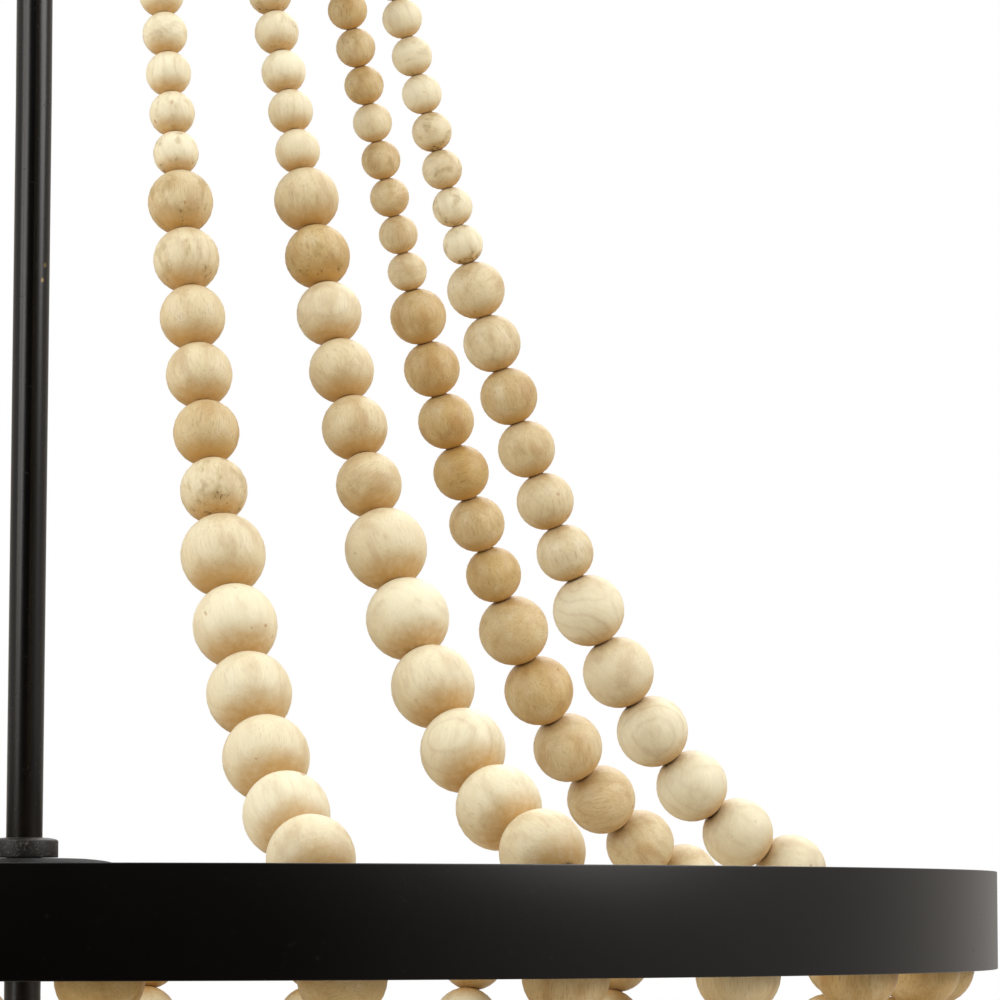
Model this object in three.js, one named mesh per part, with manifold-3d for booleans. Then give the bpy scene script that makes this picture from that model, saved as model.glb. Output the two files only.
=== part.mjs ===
import * as THREE from 'three';
import { mergeVertices } from 'three/addons/utils/BufferGeometryUtils.js';
import Module from 'manifold-3d';

const wasm = await Module();
wasm.setup();

// A beaded chandelier on a rigid stem, hung from the ceiling by a swivel.
// Lengths are in millimetres and angles in degrees. The origin is the middle of
// the bracket's ceiling face, +Z points up, and the front is towards -Y.

// Fits
const seatGap = 0.3;
const boreGap = 0.5;
const cutOverrun = 2;

// Ring: a band on edge with a ledge inside it. The basket strands hang on the ledge, and the upper strands
// are tied to upright tabs on it.
const ringRadius = 317.5;
const bandHeight = 31.2;
const bandThickness = 2.5;
const ledgeDrop = 15.5;
const ledgeWidth = 25;
const ledgeThickness = 2;
const wireHole = 3.4;
const tabInset = 12;
const tabWidth = 9;
const tabThickness = 2;
const tabRim = 3;
const spokeCount = 4;
const spokeHeight = 14;
const spokeThickness = 4;

// Beads and the wire that they are strung on
const largeBead = 25;
const mediumBead = 20;
const smallBead = 14;
const largeCount = 6;
const mediumCount = 6;
const basketMediumCount = 5;
const wireDiameter = 1.6;
const crimpDiameter = 4.4;
const crimpHeight = 3;
const neckShare = 0.27;
const pitchShare = 0.96;
const facetShare = 1.04;
const beltRiseShare = 0.42;
const beltRadiusShare = 0.907;

// Upper strands: each hangs as a chain between the ledge and the crown.
// The weight of one large bead and the pull below the lowest one are shares of the level pull.
const pairCount = 4;
const firstPairAzimuth = 30;
const pairSpread = 15.8;
const footInset = 40.7;
const footRise = 2.35;
const beadWeightShare = 0.324;
const footPullShare = 0.2985;
const crownStrandRadius = 100;
const headWire = 3;

// Basket strands: two runs on one wire, down a quarter ellipse to the bottom plate
const basketRuns = 28;
const firstBasketAzimuth = 9.64;
const basketDepth = 165;
const basketInset = 16.5;
const strandDrop = 1;
const runGap = 0.7;
const ellipseSteps = 240;

// Crown
const crownMargin = 7;
const crownPlateThickness = 2.5;
const capRise = 22;
const capWall = 1.2;
const capShoulderShares = [[0.25, 0.95], [0.58, 0.78], [0.88, 0.52], [1, 0.3]];
const crownNutRadius = 10;
const crownNutHeight = 8;

// Rods and the hub
const rodDiameter = 12;
const rodWall = 1.4;
const stemLength = 152.4;
const socketDepth = 8;
const couplingRadius = 9.5;
const couplingHeight = 24;
const couplingWaistShare = 0.86;
const collarRadius = 11.2;
const collarHeight = 6.75;
const collarChamfer = 0.8;
const discRadius = 29.5;
const discThickness = 3.5;
const discRise = 4.3;
const discShares = [[1, 0.57], [0.96, 0.68], [0.8, 0.86], [0.5, 1]];
const hubRadius = 15;

// Ceiling bracket and canopy
const bracketLength = 112;
const bracketWidth = 22;
const bracketThickness = 2.6;
const boxScrewSpacing = 89;
const boxSlotLength = 9;
const boxSlotWidth = 4.8;
const studSpacing = 66;
const studDiameter = 4;
const canopyRadius = 63.5;
const canopyDepth = 24;
const canopyWall = 1.2;
const canopyFlatRadius = 42;
const canopyRim = 7;
const canopyShoulderShares = [[0, 1], [0.5, 0.87], [0.87, 0.5], [1, 0]];
const capNutRadius = 6;
const capNutHeight = 11;
const capNutSkirt = 5;
const capNutShoulderShare = 0.75;
const studEngagement = 6;

// Swivel
const shankRadius = 7;
const wireWayRadius = 4.2;
const lockNutRadius = 11.5;
const lockNutHeight = 4;
const shoulderRadius = 15;
const shoulderHeight = 3;
const forkNeck = 7;
const forkNeckRadius = 12;
const pivotDrop = 11;
const slotWidth = 9;
const lugThickness = 5;
const lugRadius = 10;
const pivotRadius = 3;
const pivotHeadRadius = 5.6;
const pivotHeadHeight = 3.2;
const tongueRadius = 9.5;
const knuckleGap = 1;
const tongueCollarRadius = 11;
const tongueCollarHeight = 13;

// Lamps
const lampCount = 4;
const lampCircle = 85;
const lampBodyRadius = 20;
const lampBodyHeight = 34;
const lampBodyShares = [[0.5, 0], [0.72, 0.08], [0.6, 0.2], [0.95, 0.34], [1, 0.5], [0.95, 0.66],
  [0.6, 0.84], [0.5, 1]];
const sleeveClearBelowRing = 18;
const sleeveHeight = 58;
const sleeveRadius = 12;
const sleeveWall = 1;
const socketRadius = 10;
const socketBore = 6.6;
const socketBoreDepth = 22;
const socketFootRadius = 7;
const socketFootHeight = 22;
const socketHeight = 50;
const armRadius = 4;
const armDip = 16;
const armSteps = 7;
const armEngagement = 6;
const cupRadius = 20;
const cupHeight = 10;
const cupRecess = 3.5;
const cupShares = [[0, 1], [0.3, 1], [0.36, 0.72], [0.8, 0.5], [1, 0]];

// Bottom plate and finial
const plateThickness = 2.5;
const plateMargin = 5;
const loopRise = 1.6;
const finialRadius = 17;
const finialHeight = 38;
const finialBore = 10;
const finialShares = [[0, 0], [0.36, 0.06], [0.72, 0.26], [0.78, 0.42], [0.4, 0.66], [0.46, 0.78],
  [1, 0.92], [1, 1]];

// Corners of the round pieces
const bandSides = 48;
const dishSides = 20;
const turnedSides = 12;
const rodSides = 10;
const smallSides = 8;
const armSides = 6;

// Heights, worked out from the sizes above
const rodRadius = rodDiameter / 2;
const rodBore = rodRadius + boreGap;
const forkTop = -(canopyDepth + seatGap);
const pivotHeight = forkTop - shoulderHeight - forkNeck - pivotDrop;
const tongueCollarTop = pivotHeight - lugRadius - knuckleGap;
const tongueBottom = tongueCollarTop - tongueCollarHeight;
const stemTop = tongueBottom + socketDepth - seatGap;
const stemBottom = stemTop - stemLength;
const couplingTop = stemBottom + couplingHeight / 2;
const couplingBottom = couplingTop - couplingHeight;
const capTop = couplingBottom - seatGap;
const crownPlateTop = capTop - capRise;
const crownPlateBottom = crownPlateTop - crownPlateThickness;

const upVector = new THREE.Vector3(0, 0, 1);
const materials = {
  metal: new THREE.MeshStandardMaterial({ color: 0x1b1918, roughness: 0.5, metalness: 0.6 }),
  brass: new THREE.MeshStandardMaterial({ color: 0xa98445, roughness: 0.35, metalness: 1 }),
  steel: new THREE.MeshStandardMaterial({ color: 0x9a9c9e, roughness: 0.4, metalness: 1 }),
  wood: new THREE.MeshStandardMaterial({ color: 0xdfc59c, roughness: 0.7, metalness: 0 }),
  sleeve: new THREE.MeshStandardMaterial({ color: 0x201d1b, roughness: 0.6, metalness: 0.1 }),
  socket: new THREE.MeshStandardMaterial({ color: 0xe6e1d6, roughness: 0.5, metalness: 0 }),
};

const chandelier = new THREE.Group();

// Adds one named piece, turned about Z.
function piece(name, geometry, material, azimuth = 0) {
  const mesh = new THREE.Mesh(geometry, material.clone());
  mesh.name = name;
  mesh.rotation.z = THREE.MathUtils.degToRad(azimuth);
  chandelier.add(mesh);
}

// Revolves a profile of [radius, height] points about Z.
// It starts and ends on the axis, or closes on itself.
function turned(profile, sides) {
  const points = profile.map(([radius, height]) => new THREE.Vector2(radius, height));
  return new THREE.LatheGeometry(points, sides).rotateX(Math.PI / 2);
}

function solid(geometry) {
  const bare = geometry.clone();
  bare.deleteAttribute('normal');
  bare.deleteAttribute('uv');
  const merged = mergeVertices(bare);
  return new wasm.Manifold(new wasm.Mesh({
    numProp: 3,
    vertProperties: new Float32Array(merged.attributes.position.array),
    triVerts: new Uint32Array(merged.index.array),
  }));
}

function geometryOf(manifold) {
  const mesh = manifold.getMesh();
  const geometry = new THREE.BufferGeometry();
  geometry.setAttribute('position', new THREE.BufferAttribute(new Float32Array(mesh.vertProperties), 3));
  geometry.setIndex(new THREE.BufferAttribute(new Uint32Array(mesh.triVerts), 1));
  return geometry;
}

function joined(first, ...others) {
  return geometryOf(others.reduce((sum, other) => sum.add(solid(other)), solid(first)));
}

function cut(body, ...tools) {
  return geometryOf(tools.reduce((rest, tool) => rest.subtract(solid(tool)), solid(body)));
}

// A straight round bar between two heights.
function bar(radius, bottom, top, sides) {
  return turned([[0, bottom], [radius, bottom], [radius, top], [0, top]], sides);
}

// A straight tube between two heights.
function tube(outer, inner, bottom, top, sides) {
  return turned([[inner, bottom], [outer, bottom], [outer, top], [inner, top], [inner, bottom]], sides);
}

function onCircle(radius, azimuth, height = 0) {
  const angle = THREE.MathUtils.degToRad(azimuth);
  return new THREE.Vector3(radius * Math.sin(angle), -radius * Math.cos(angle), height);
}

// Strands

// The corners of one ring of a skin. Its turn is a share of the step between corners.
function ringCorners({ centre, radius, corners, turn }, normal, binormal) {
  return Array.from({ length: corners }, (_, i) => {
    const angle = ((i + turn) / corners) * 2 * Math.PI;
    return centre.clone()
      .addScaledVector(normal, radius * Math.cos(angle))
      .addScaledVector(binormal, radius * Math.sin(angle));
  });
}

// The faces between two rings that may have different numbers of corners.
function facesBetween(low, high, lowStart, highStart) {
  const faces = [];
  let i = 0;
  let j = 0;
  while (i < low.corners || j < high.corners) {
    const a = lowStart + (i % low.corners);
    const b = highStart + (j % high.corners);
    const lowNext = (i + 1 + low.turn) / low.corners;
    const highNext = (j + 1 + high.turn) / high.corners;
    if (j >= high.corners || (i < low.corners && lowNext <= highNext)) {
      i += 1;
      faces.push(a, lowStart + (i % low.corners), b);
    } else {
      j += 1;
      faces.push(a, highStart + (j % high.corners), b);
    }
  }
  return faces;
}

// One closed skin over a row of rings that are square to the line through their centres.
function skin(rings) {
  const positions = [];
  const starts = [];
  const last = rings.length - 1;
  const tangentAt = (i) => rings[Math.min(i + 1, last)].centre.clone()
    .sub(rings[Math.max(i - 1, 0)].centre).normalize();
  let tangent = tangentAt(0);
  const side = Math.abs(tangent.z) < Math.SQRT1_2 ? upVector : rings[0].centre.clone().setZ(0).normalize();
  let normal = side.clone().addScaledVector(tangent, -side.dot(tangent)).normalize();
  rings.forEach((ring, i) => {
    const next = tangentAt(i);
    normal.applyQuaternion(new THREE.Quaternion().setFromUnitVectors(tangent, next));
    tangent = next;
    normal.addScaledVector(tangent, -normal.dot(tangent)).normalize();
    starts.push(positions.length / 3);
    ringCorners(ring, normal, tangent.clone().cross(normal)).forEach((p) => positions.push(p.x, p.y, p.z));
  });
  const faces = rings.slice(1).flatMap((ring, i) => facesBetween(rings[i], ring, starts[i], starts[i + 1]));
  for (let i = 1; i + 1 < rings[0].corners; i += 1) faces.push(0, i + 1, i);
  for (let i = 1; i + 1 < rings[last].corners; i += 1) {
    faces.push(starts[last], starts[last] + i, starts[last] + i + 1);
  }
  const geometry = new THREE.BufferGeometry();
  geometry.setAttribute('position', new THREE.Float32BufferAttribute(positions, 3));
  geometry.setIndex(faces);
  return geometry;
}

// The rings of one bead. A large bead has two belts turned against each other, the others have one.
function beadRings(centre, along, diameter) {
  const radius = (diameter / 2) * facetShare;
  if (diameter < largeBead) {
    return [{ centre, radius, corners: diameter < mediumBead ? 4 : 5, turn: 0 }];
  }
  return [-1, 1].map((side) => ({
    centre: centre.clone().addScaledVector(along, side * radius * beltRiseShare),
    radius: radius * beltRadiusShare,
    corners: 4,
    turn: side > 0 ? 0.5 : 0,
  }));
}

function wireRing(centre, radius = wireDiameter / 2) {
  return { centre, radius, corners: 3, turn: 0 };
}

// The rings of a row of touching beads between two points of the bare wire.
// Neighbours meet in a narrow neck.
function beadRow(beads, from, to) {
  const rings = [];
  beads.forEach(({ at, diameter }, i) => {
    const before = i > 0 ? beads[i - 1].at : from;
    const after = i + 1 < beads.length ? beads[i + 1].at : to;
    const start = i + 1 < beads.length ? before : at;
    const end = i > 0 ? after : at;
    const along = end.clone().sub(start).normalize();
    const reach = (diameter / 2) * pitchShare;
    if (i === 0) rings.push(wireRing(at.clone().addScaledVector(along, -reach)));
    rings.push(...beadRings(at, along, diameter));
    if (i + 1 < beads.length) {
      const next = beads[i + 1].diameter;
      const neck = (neckShare * Math.min(diameter, next)) / 2;
      rings.push(wireRing(at.clone().lerp(after, diameter / (diameter + next)), neck));
    } else {
      rings.push(wireRing(at.clone().addScaledVector(along, reach)));
    }
  });
  return rings;
}

// A crimp that stops the wire at the end of a strand, outwards from its base.
function crimpRings(base, along) {
  const middle = base.clone().addScaledVector(along, crimpHeight / 2);
  const end = base.clone().addScaledVector(along, crimpHeight);
  const waist = { centre: middle, radius: crimpDiameter / 2, corners: 4, turn: 0 };
  return [wireRing(base), waist, wireRing(end)];
}

function gradedDiameter(n, mediums) {
  if (n < largeCount) return largeBead;
  return n < largeCount + mediums ? mediumBead : smallBead;
}

// The beads of an upper strand as [distance from the axis, height above the lowest bead, diameter].
// Each link is as steep as the weight that it carries over the level pull.
function hangUpperBeads() {
  const beads = [];
  let radius = ringRadius - footInset;
  let height = 0;
  let steepness = footPullShare;
  for (let i = 0; ; i += 1) {
    const diameter = gradedDiameter(i, mediumCount);
    const next = steepness + beadWeightShare * (diameter / largeBead) ** 3;
    const wire = (radius - crownStrandRadius) * Math.hypot(1, next);
    if (wire < (pitchShare * diameter) / 2 + headWire) return { beads, steepness };
    beads.push([radius, height, diameter]);
    steepness = next;
    const link = (pitchShare * (diameter + gradedDiameter(i + 1, mediumCount))) / 2;
    radius -= link / Math.hypot(1, steepness);
    height += (link * steepness) / Math.hypot(1, steepness);
  }
}

const upper = hangUpperBeads();
const [lastRadius, lastHeight] = upper.beads[upper.beads.length - 1];
const footHeight = crownPlateBottom - lastHeight - (lastRadius - crownStrandRadius) * upper.steepness;

// Heights and radii of the ring
const ringTop = footHeight - footRise;
const ringBottom = ringTop - bandHeight;
const bandInner = ringRadius - bandThickness;
const ledgeTop = ringTop - ledgeDrop;
const ledgeBottom = ledgeTop - ledgeThickness;
const ledgeOuter = bandInner - seatGap;
const ledgeInner = ledgeOuter - ledgeWidth;
const strandRadius = bandInner - basketInset;
const tabRadius = bandInner - tabInset;
const tieHeight = footHeight - (tabRadius - ringRadius + footInset) * footPullShare;

// An upper strand lies in one upright plane. Its foot is tied through a tab of the ledge, and its head
// goes up through the crown plate.
function upperStrand(azimuth) {
  const at = (radius, height) => onCircle(radius, azimuth, height);
  const row = upper.beads.map(([radius, height, diameter]) => (
    { at: at(radius, footHeight + height), diameter }
  ));
  const tie = at(tabRadius + tabThickness / 2 + seatGap, tieHeight);
  const outward = onCircle(1, azimuth);
  const head = at(crownStrandRadius, crownPlateTop + seatGap);
  const headWay = at(crownStrandRadius, crownPlateBottom);
  return skin([
    ...crimpRings(tie, outward).reverse(), ...beadRow(row, tie, headWay),
    wireRing(headWay), ...crimpRings(head, upVector),
  ]);
}

// The basket runs end where the last bead between two neighbours has just enough room.
const runAngle = (2 * Math.PI) / basketRuns;
const innerBeadRadius = (smallBead * facetShare + runGap) / runAngle;
const loopRadius = innerBeadRadius - smallBead;
const basketTop = ledgeBottom - strandDrop;
const basketBottom = basketTop - basketDepth;
const plateBottom = basketBottom + smallBead / 2;
const plateTop = plateBottom + plateThickness;

// Points down the quarter ellipse of a basket run, with the distance covered at each.
function basketCurve() {
  const points = [];
  let covered = 0;
  for (let i = 0; i <= ellipseSteps; i += 1) {
    const angle = ((i / ellipseSteps) * Math.PI) / 2;
    const radius = loopRadius + (strandRadius - loopRadius) * Math.cos(angle);
    const height = basketTop - basketDepth * Math.sin(angle);
    if (i > 0) covered += Math.hypot(radius - points[i - 1].radius, height - points[i - 1].height);
    points.push({ radius, height, covered });
  }
  return points;
}

const curve = basketCurve();
const curveLength = curve[curve.length - 1].covered;

function basketPoint(distance) {
  const next = Math.max(1, curve.findIndex(({ covered }) => covered >= distance));
  const from = curve[next - 1];
  const to = curve[next];
  const share = (distance - from.covered) / (to.covered - from.covered);
  return {
    radius: THREE.MathUtils.lerp(from.radius, to.radius, share),
    height: THREE.MathUtils.lerp(from.height, to.height, share),
  };
}

// The beads of one run from the ring to the plate. No bead is larger than the room between the runs.
function basketBeads() {
  const beads = [];
  const fits = (diameter, edge) => {
    const middle = edge + (pitchShare * diameter) / 2;
    return middle < curveLength && basketPoint(middle).radius * runAngle - runGap >= diameter * facetShare;
  };
  let edge = 0;
  for (let i = 0; ; i += 1) {
    const wanted = gradedDiameter(i, basketMediumCount);
    const diameter = [wanted, mediumBead, smallBead].find((size) => size <= wanted && fits(size, edge));
    if (!diameter) return beads;
    beads.push({ ...basketPoint(edge + (pitchShare * diameter) / 2), diameter });
    edge += pitchShare * diameter;
  }
}

const basketRow = basketBeads();

// Two runs on one wire. Both are crimped on the ledge, and the wire loops through two holes of the
// bottom plate.
function basketStrand(near, far) {
  const run = (azimuth) => {
    const at = (radius, height) => onCircle(radius, azimuth, height);
    const row = basketRow.map(({ radius, height, diameter }) => ({ at: at(radius, height), diameter }));
    const bend = at(loopRadius, plateBottom - wireDiameter);
    return [
      ...crimpRings(at(strandRadius, ledgeTop + seatGap), upVector).reverse(),
      ...beadRow(row, at(strandRadius, basketTop), bend),
      wireRing(bend), wireRing(at(loopRadius, plateTop + loopRise)),
    ];
  };
  return skin([...run(near), ...run(far).reverse()]);
}

const basketAzimuths = Array.from({ length: basketRuns }, (_, i) => (
  firstBasketAzimuth + (360 / basketRuns) * i
));
const upperAzimuths = Array.from({ length: pairCount * 2 }, (_, i) => {
  const pair = firstPairAzimuth + (360 / pairCount) * Math.floor(i / 2);
  return pair + ((i % 2 ? 1 : -1) * pairSpread) / 2;
});

// Plates

function circlePath(radius, sides) {
  return Array.from({ length: sides }, (_, i) => {
    const { x, y } = onCircle(radius, (360 / sides) * i);
    return new THREE.Vector2(x, y);
  });
}

// A square hole that faces the middle of the plate.
function squarePath(width, radius, azimuth) {
  const half = width / 2;
  return [[-half, -half], [half, -half], [half, half], [-half, half]].map(([across, out]) => {
    const { x, y } = onCircle(radius + out, azimuth).add(onCircle(across, azimuth + 90));
    return new THREE.Vector2(x, y);
  });
}

// A flat round plate with a middle hole and a circle of wire holes.
function plate(outline, middle, holeRadius, azimuths, bottom, thickness) {
  const shape = new THREE.Shape(outline);
  const holes = azimuths.map((azimuth) => squarePath(wireHole, holeRadius, azimuth));
  shape.holes = [middle, ...holes].map((points) => new THREE.Path(points));
  return new THREE.ExtrudeGeometry(shape, { depth: thickness, bevelEnabled: false })
    .translate(0, 0, bottom);
}

// Ceiling side

function ceilingBracket() {
  const strap = new THREE.BoxGeometry(bracketLength, bracketWidth, bracketThickness)
    .translate(0, 0, -bracketThickness / 2);
  const deep = bracketThickness + cutOverrun;
  const slot = (side) => new THREE.BoxGeometry(boxSlotLength, boxSlotWidth, deep * 2)
    .translate((side * boxScrewSpacing) / 2, 0, 0);
  const hole = (side) => bar(studDiameter / 2 + seatGap, -deep, deep, smallSides)
    .translate((side * studSpacing) / 2, 0, 0);
  return cut(strap, slot(-1), slot(1), hole(-1), hole(1));
}

const canopyFloor = canopyWall - canopyDepth;
const shankBore = shankRadius + boreGap;

function canopy() {
  const shoulder = (rim, bottom) => canopyShoulderShares.map(([across, down]) => (
    [canopyFlatRadius + (rim - canopyFlatRadius) * across, -canopyRim + (bottom + canopyRim) * down]
  ));
  const inner = canopyRadius - canopyWall;
  const shell = turned([
    [shankBore, -canopyDepth], ...shoulder(canopyRadius, -canopyDepth), [canopyRadius, 0],
    [inner, 0], ...shoulder(inner, canopyFloor).reverse(), [shankBore, canopyFloor], [shankBore, -canopyDepth],
  ], dishSides);
  const hole = (side) => bar(studDiameter / 2 + seatGap, -canopyDepth - cutOverrun, 0, smallSides)
    .translate((side * studSpacing) / 2, 0, 0);
  return cut(shell, hole(-1), hole(1));
}

function canopyStud(side) {
  return bar(studDiameter / 2, -canopyDepth - studEngagement, -seatGap, smallSides)
    .translate((side * studSpacing) / 2, 0, 0);
}

function capNut(side) {
  const top = -canopyDepth - seatGap;
  const bore = studDiameter / 2 + seatGap;
  const shoulder = capNutRadius * capNutShoulderShare;
  const boreTop = -canopyDepth - studEngagement - seatGap;
  return turned([
    [0, top - capNutHeight], [shoulder, top - (capNutHeight + capNutSkirt) / 2], [capNutRadius, top - capNutSkirt],
    [capNutRadius, top], [bore, top], [bore, boreTop], [0, boreTop],
  ], smallSides).translate((side * studSpacing) / 2, 0, 0);
}

// Swivel

const neckBottom = forkTop - shoulderHeight - forkNeck;

function pivotHole(length) {
  const radius = pivotRadius + seatGap;
  return new THREE.CylinderGeometry(radius, radius, length + cutOverrun * 2, rodSides)
    .rotateZ(Math.PI / 2).translate(0, 0, pivotHeight);
}

// A flat lug on edge across the pivot: a half round of the given radius and straight sides as long as the reach.
// A positive reach points up.
function lug(radius, reach, thickness, offset) {
  const arc = Array.from({ length: smallSides + 1 }, (_, i) => {
    const angle = (i / smallSides) * Math.PI;
    return new THREE.Vector2(radius * Math.cos(angle), -Math.sign(reach) * radius * Math.sin(angle));
  });
  const outline = new THREE.Shape([new THREE.Vector2(radius, reach), ...arc, new THREE.Vector2(-radius, reach)]);
  return new THREE.ExtrudeGeometry(outline, { depth: thickness, bevelEnabled: false })
    .rotateX(Math.PI / 2).rotateZ(Math.PI / 2)
    .translate(offset - thickness / 2, 0, pivotHeight);
}

function swivelFork() {
  const shankTop = canopyFloor + seatGap + lockNutHeight + shoulderHeight;
  const shoulderBottom = forkTop - shoulderHeight;
  const body = turned([
    [0, neckBottom], [forkNeckRadius, neckBottom], [forkNeckRadius, shoulderBottom],
    [shoulderRadius, shoulderBottom], [shoulderRadius, forkTop], [shankRadius, forkTop],
    [shankRadius, shankTop], [0, shankTop],
  ], turnedSides);
  const offset = (slotWidth + lugThickness) / 2;
  const reach = pivotDrop + forkNeck / 2;
  const wireWay = bar(wireWayRadius, neckBottom - cutOverrun, shankTop + cutOverrun, smallSides);
  const lugs = [-offset, offset].map((x) => lug(lugRadius, reach, lugThickness, x));
  return cut(joined(body, ...lugs), wireWay, pivotHole(slotWidth + lugThickness * 2));
}

function lockNut() {
  const bottom = canopyFloor + seatGap;
  return tube(lockNutRadius, shankRadius + seatGap, bottom, bottom + lockNutHeight, turnedSides);
}

function pivotScrew() {
  const half = slotWidth / 2 + lugThickness + seatGap;
  const end = half + pivotHeadHeight;
  return turned([
    [0, -end], [pivotHeadRadius, -end], [pivotHeadRadius, -half], [pivotRadius, -half],
    [pivotRadius, half], [pivotHeadRadius, half], [pivotHeadRadius, end], [0, end],
  ], rodSides).rotateY(Math.PI / 2).translate(0, 0, pivotHeight);
}

function swivelTongue() {
  const thickness = slotWidth - seatGap * 2;
  const reach = tongueCollarTop - tongueCollarHeight / 4 - pivotHeight;
  const blade = lug(tongueRadius, reach, thickness, 0);
  const collar = bar(tongueCollarRadius, tongueBottom, tongueCollarTop, turnedSides);
  const socket = bar(rodBore, tongueBottom - cutOverrun, tongueBottom + socketDepth, rodSides);
  return cut(joined(blade, collar), socket, pivotHole(thickness));
}

// Rods

function rod(bottom, top) {
  return tube(rodRadius, rodRadius - rodWall, bottom, top, rodSides);
}

function stemCoupling() {
  const waist = couplingRadius * couplingWaistShare;
  const middle = (couplingTop + couplingBottom) / 2;
  const bead = socketDepth / 2;
  return turned([
    [rodBore, couplingBottom], [couplingRadius, couplingBottom], [couplingRadius, middle - bead], [waist, middle],
    [couplingRadius, middle + bead], [couplingRadius, couplingTop], [rodBore, couplingTop],
    [rodBore, couplingBottom],
  ], turnedSides);
}

// Crown

const crownRadius = crownStrandRadius + crownMargin;

function crownCap() {
  const outer = crownRadius + seatGap + capWall;
  const dish = (radius, top) => capShoulderShares.map(([across, up]) => (
    [rodBore + (radius - rodBore) * across, crownPlateBottom + (top - crownPlateBottom) * up]
  ));
  return turned([
    [rodBore, capTop - capWall], ...dish(outer - capWall, capTop - capWall), [outer - capWall, crownPlateBottom],
    [outer, crownPlateBottom], ...dish(outer, capTop).reverse(), [rodBore, capTop], [rodBore, capTop - capWall],
  ], dishSides);
}

function crownPlate() {
  const outline = circlePath(crownRadius, dishSides);
  const middle = circlePath(rodBore, rodSides);
  return plate(outline, middle, crownStrandRadius, upperAzimuths, crownPlateBottom, crownPlateThickness);
}

function crownNut() {
  const top = crownPlateBottom - seatGap;
  return tube(crownNutRadius, rodBore, top - crownNutHeight, top, rodSides);
}

// Ring and hub

const discTop = ringTop + discRise;
const discBottom = discTop - discThickness;
const spokeBottom = ledgeTop + seatGap;
const hubTop = discBottom - seatGap;
const rodJoint = (hubTop + spokeBottom) / 2;

function ringBand() {
  return tube(ringRadius, bandInner, ringBottom, ringTop, bandSides);
}

function strandRing() {
  const outline = circlePath(ledgeOuter, bandSides);
  const middle = circlePath(ledgeInner, basketRuns);
  const ledge = plate(outline, middle, strandRadius, basketAzimuths, ledgeBottom, ledgeThickness);
  const tabTop = tieHeight + wireHole / 2 + tabRim;
  const tabBottom = ledgeTop - ledgeThickness / 2;
  const tabs = upperAzimuths.map((azimuth) => new THREE
    .BoxGeometry(tabWidth, tabThickness, tabTop - tabBottom)
    .translate(0, -tabRadius, (tabTop + tabBottom) / 2)
    .rotateZ(THREE.MathUtils.degToRad(azimuth)));
  const holes = upperAzimuths.map((azimuth) => new THREE
    .BoxGeometry(wireHole, tabThickness * 2, wireHole)
    .translate(0, -tabRadius, tieHeight)
    .rotateZ(THREE.MathUtils.degToRad(azimuth)));
  return cut(joined(ledge, ...tabs), ...holes);
}

function spokeFrame() {
  const hub = bar(hubRadius, spokeBottom, hubTop, turnedSides);
  const reach = bandInner * Math.cos(Math.PI / bandSides) - seatGap;
  const bars = Array.from({ length: spokeCount / 2 }, (_, i) => new THREE
    .BoxGeometry(reach * 2, spokeThickness, spokeHeight)
    .translate(0, 0, spokeBottom + spokeHeight / 2)
    .rotateZ((i * 2 * Math.PI) / spokeCount));
  return cut(joined(hub, ...bars), bar(rodBore, spokeBottom - cutOverrun, hubTop + cutOverrun, rodSides));
}

function hubDisc() {
  const crowned = discShares.map(([across, up]) => [discRadius * across, discBottom + discThickness * up]);
  return turned([
    [rodBore, discBottom], [discRadius, discBottom], ...crowned, [rodBore, discTop], [rodBore, discBottom],
  ], dishSides);
}

function rodCollar() {
  const bottom = discTop + seatGap;
  const top = bottom + collarHeight;
  return turned([
    [rodBore, bottom], [collarRadius, bottom], [collarRadius, top - collarChamfer],
    [collarRadius - collarChamfer, top], [rodBore, top], [rodBore, bottom],
  ], turnedSides);
}

// Lamps

const sleeveTop = ringBottom - sleeveClearBelowRing;
const sleeveBottom = sleeveTop - sleeveHeight;
const cupTop = sleeveBottom - seatGap + cupRecess;
const cupBottom = cupTop - cupHeight;
const socketBottom = sleeveBottom;
const lampBodyMiddle = cupBottom - armDip / 2;
const lampBodyTop = lampBodyMiddle + lampBodyHeight / 2;
const lampBodyBottom = lampBodyTop - lampBodyHeight;

// The arm leaves the body level, dips, and comes up under the cup.
function armPath() {
  const dip = lampBodyMiddle - armDip;
  return new THREE.CatmullRomCurve3([
    new THREE.Vector3(0, lampBodyRadius - armEngagement, lampBodyMiddle),
    new THREE.Vector3(0, lampBodyRadius + armRadius, lampBodyMiddle),
    new THREE.Vector3(0, (lampCircle + lampBodyRadius) / 2, dip),
    new THREE.Vector3(0, lampCircle, cupBottom - armRadius),
    new THREE.Vector3(0, lampCircle, cupBottom + cupHeight / 4),
  ]);
}

function lampArm() {
  const rings = armPath().getSpacedPoints(armSteps)
    .map((centre) => ({ centre, radius: armRadius, corners: armSides, turn: 0 }));
  const outside = cupShares.map(([across, down]) => [across * cupRadius, cupTop - down * cupHeight]);
  const recess = sleeveRadius + boreGap;
  const cup = turned([
    ...outside, [recess, cupTop], [recess, cupTop - cupRecess], [0, cupTop - cupRecess],
  ], turnedSides).translate(0, lampCircle, 0);
  return joined(skin(rings), cup);
}

function lampBody() {
  const outside = lampBodyShares.map(([across, down]) => (
    [across * lampBodyRadius, lampBodyTop - down * lampBodyHeight]
  ));
  const shell = turned([
    [rodBore, lampBodyBottom], ...outside.reverse(), [rodBore, lampBodyTop], [rodBore, lampBodyBottom],
  ], turnedSides);
  const depth = armEngagement + seatGap;
  const bores = lampAzimuths.map((azimuth) => bar(armRadius + boreGap, 0, depth * 2, armSides)
    .rotateX(-Math.PI / 2)
    .translate(0, lampBodyRadius - depth, lampBodyMiddle)
    .rotateZ(THREE.MathUtils.degToRad(azimuth)));
  return cut(shell, ...bores);
}

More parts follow.
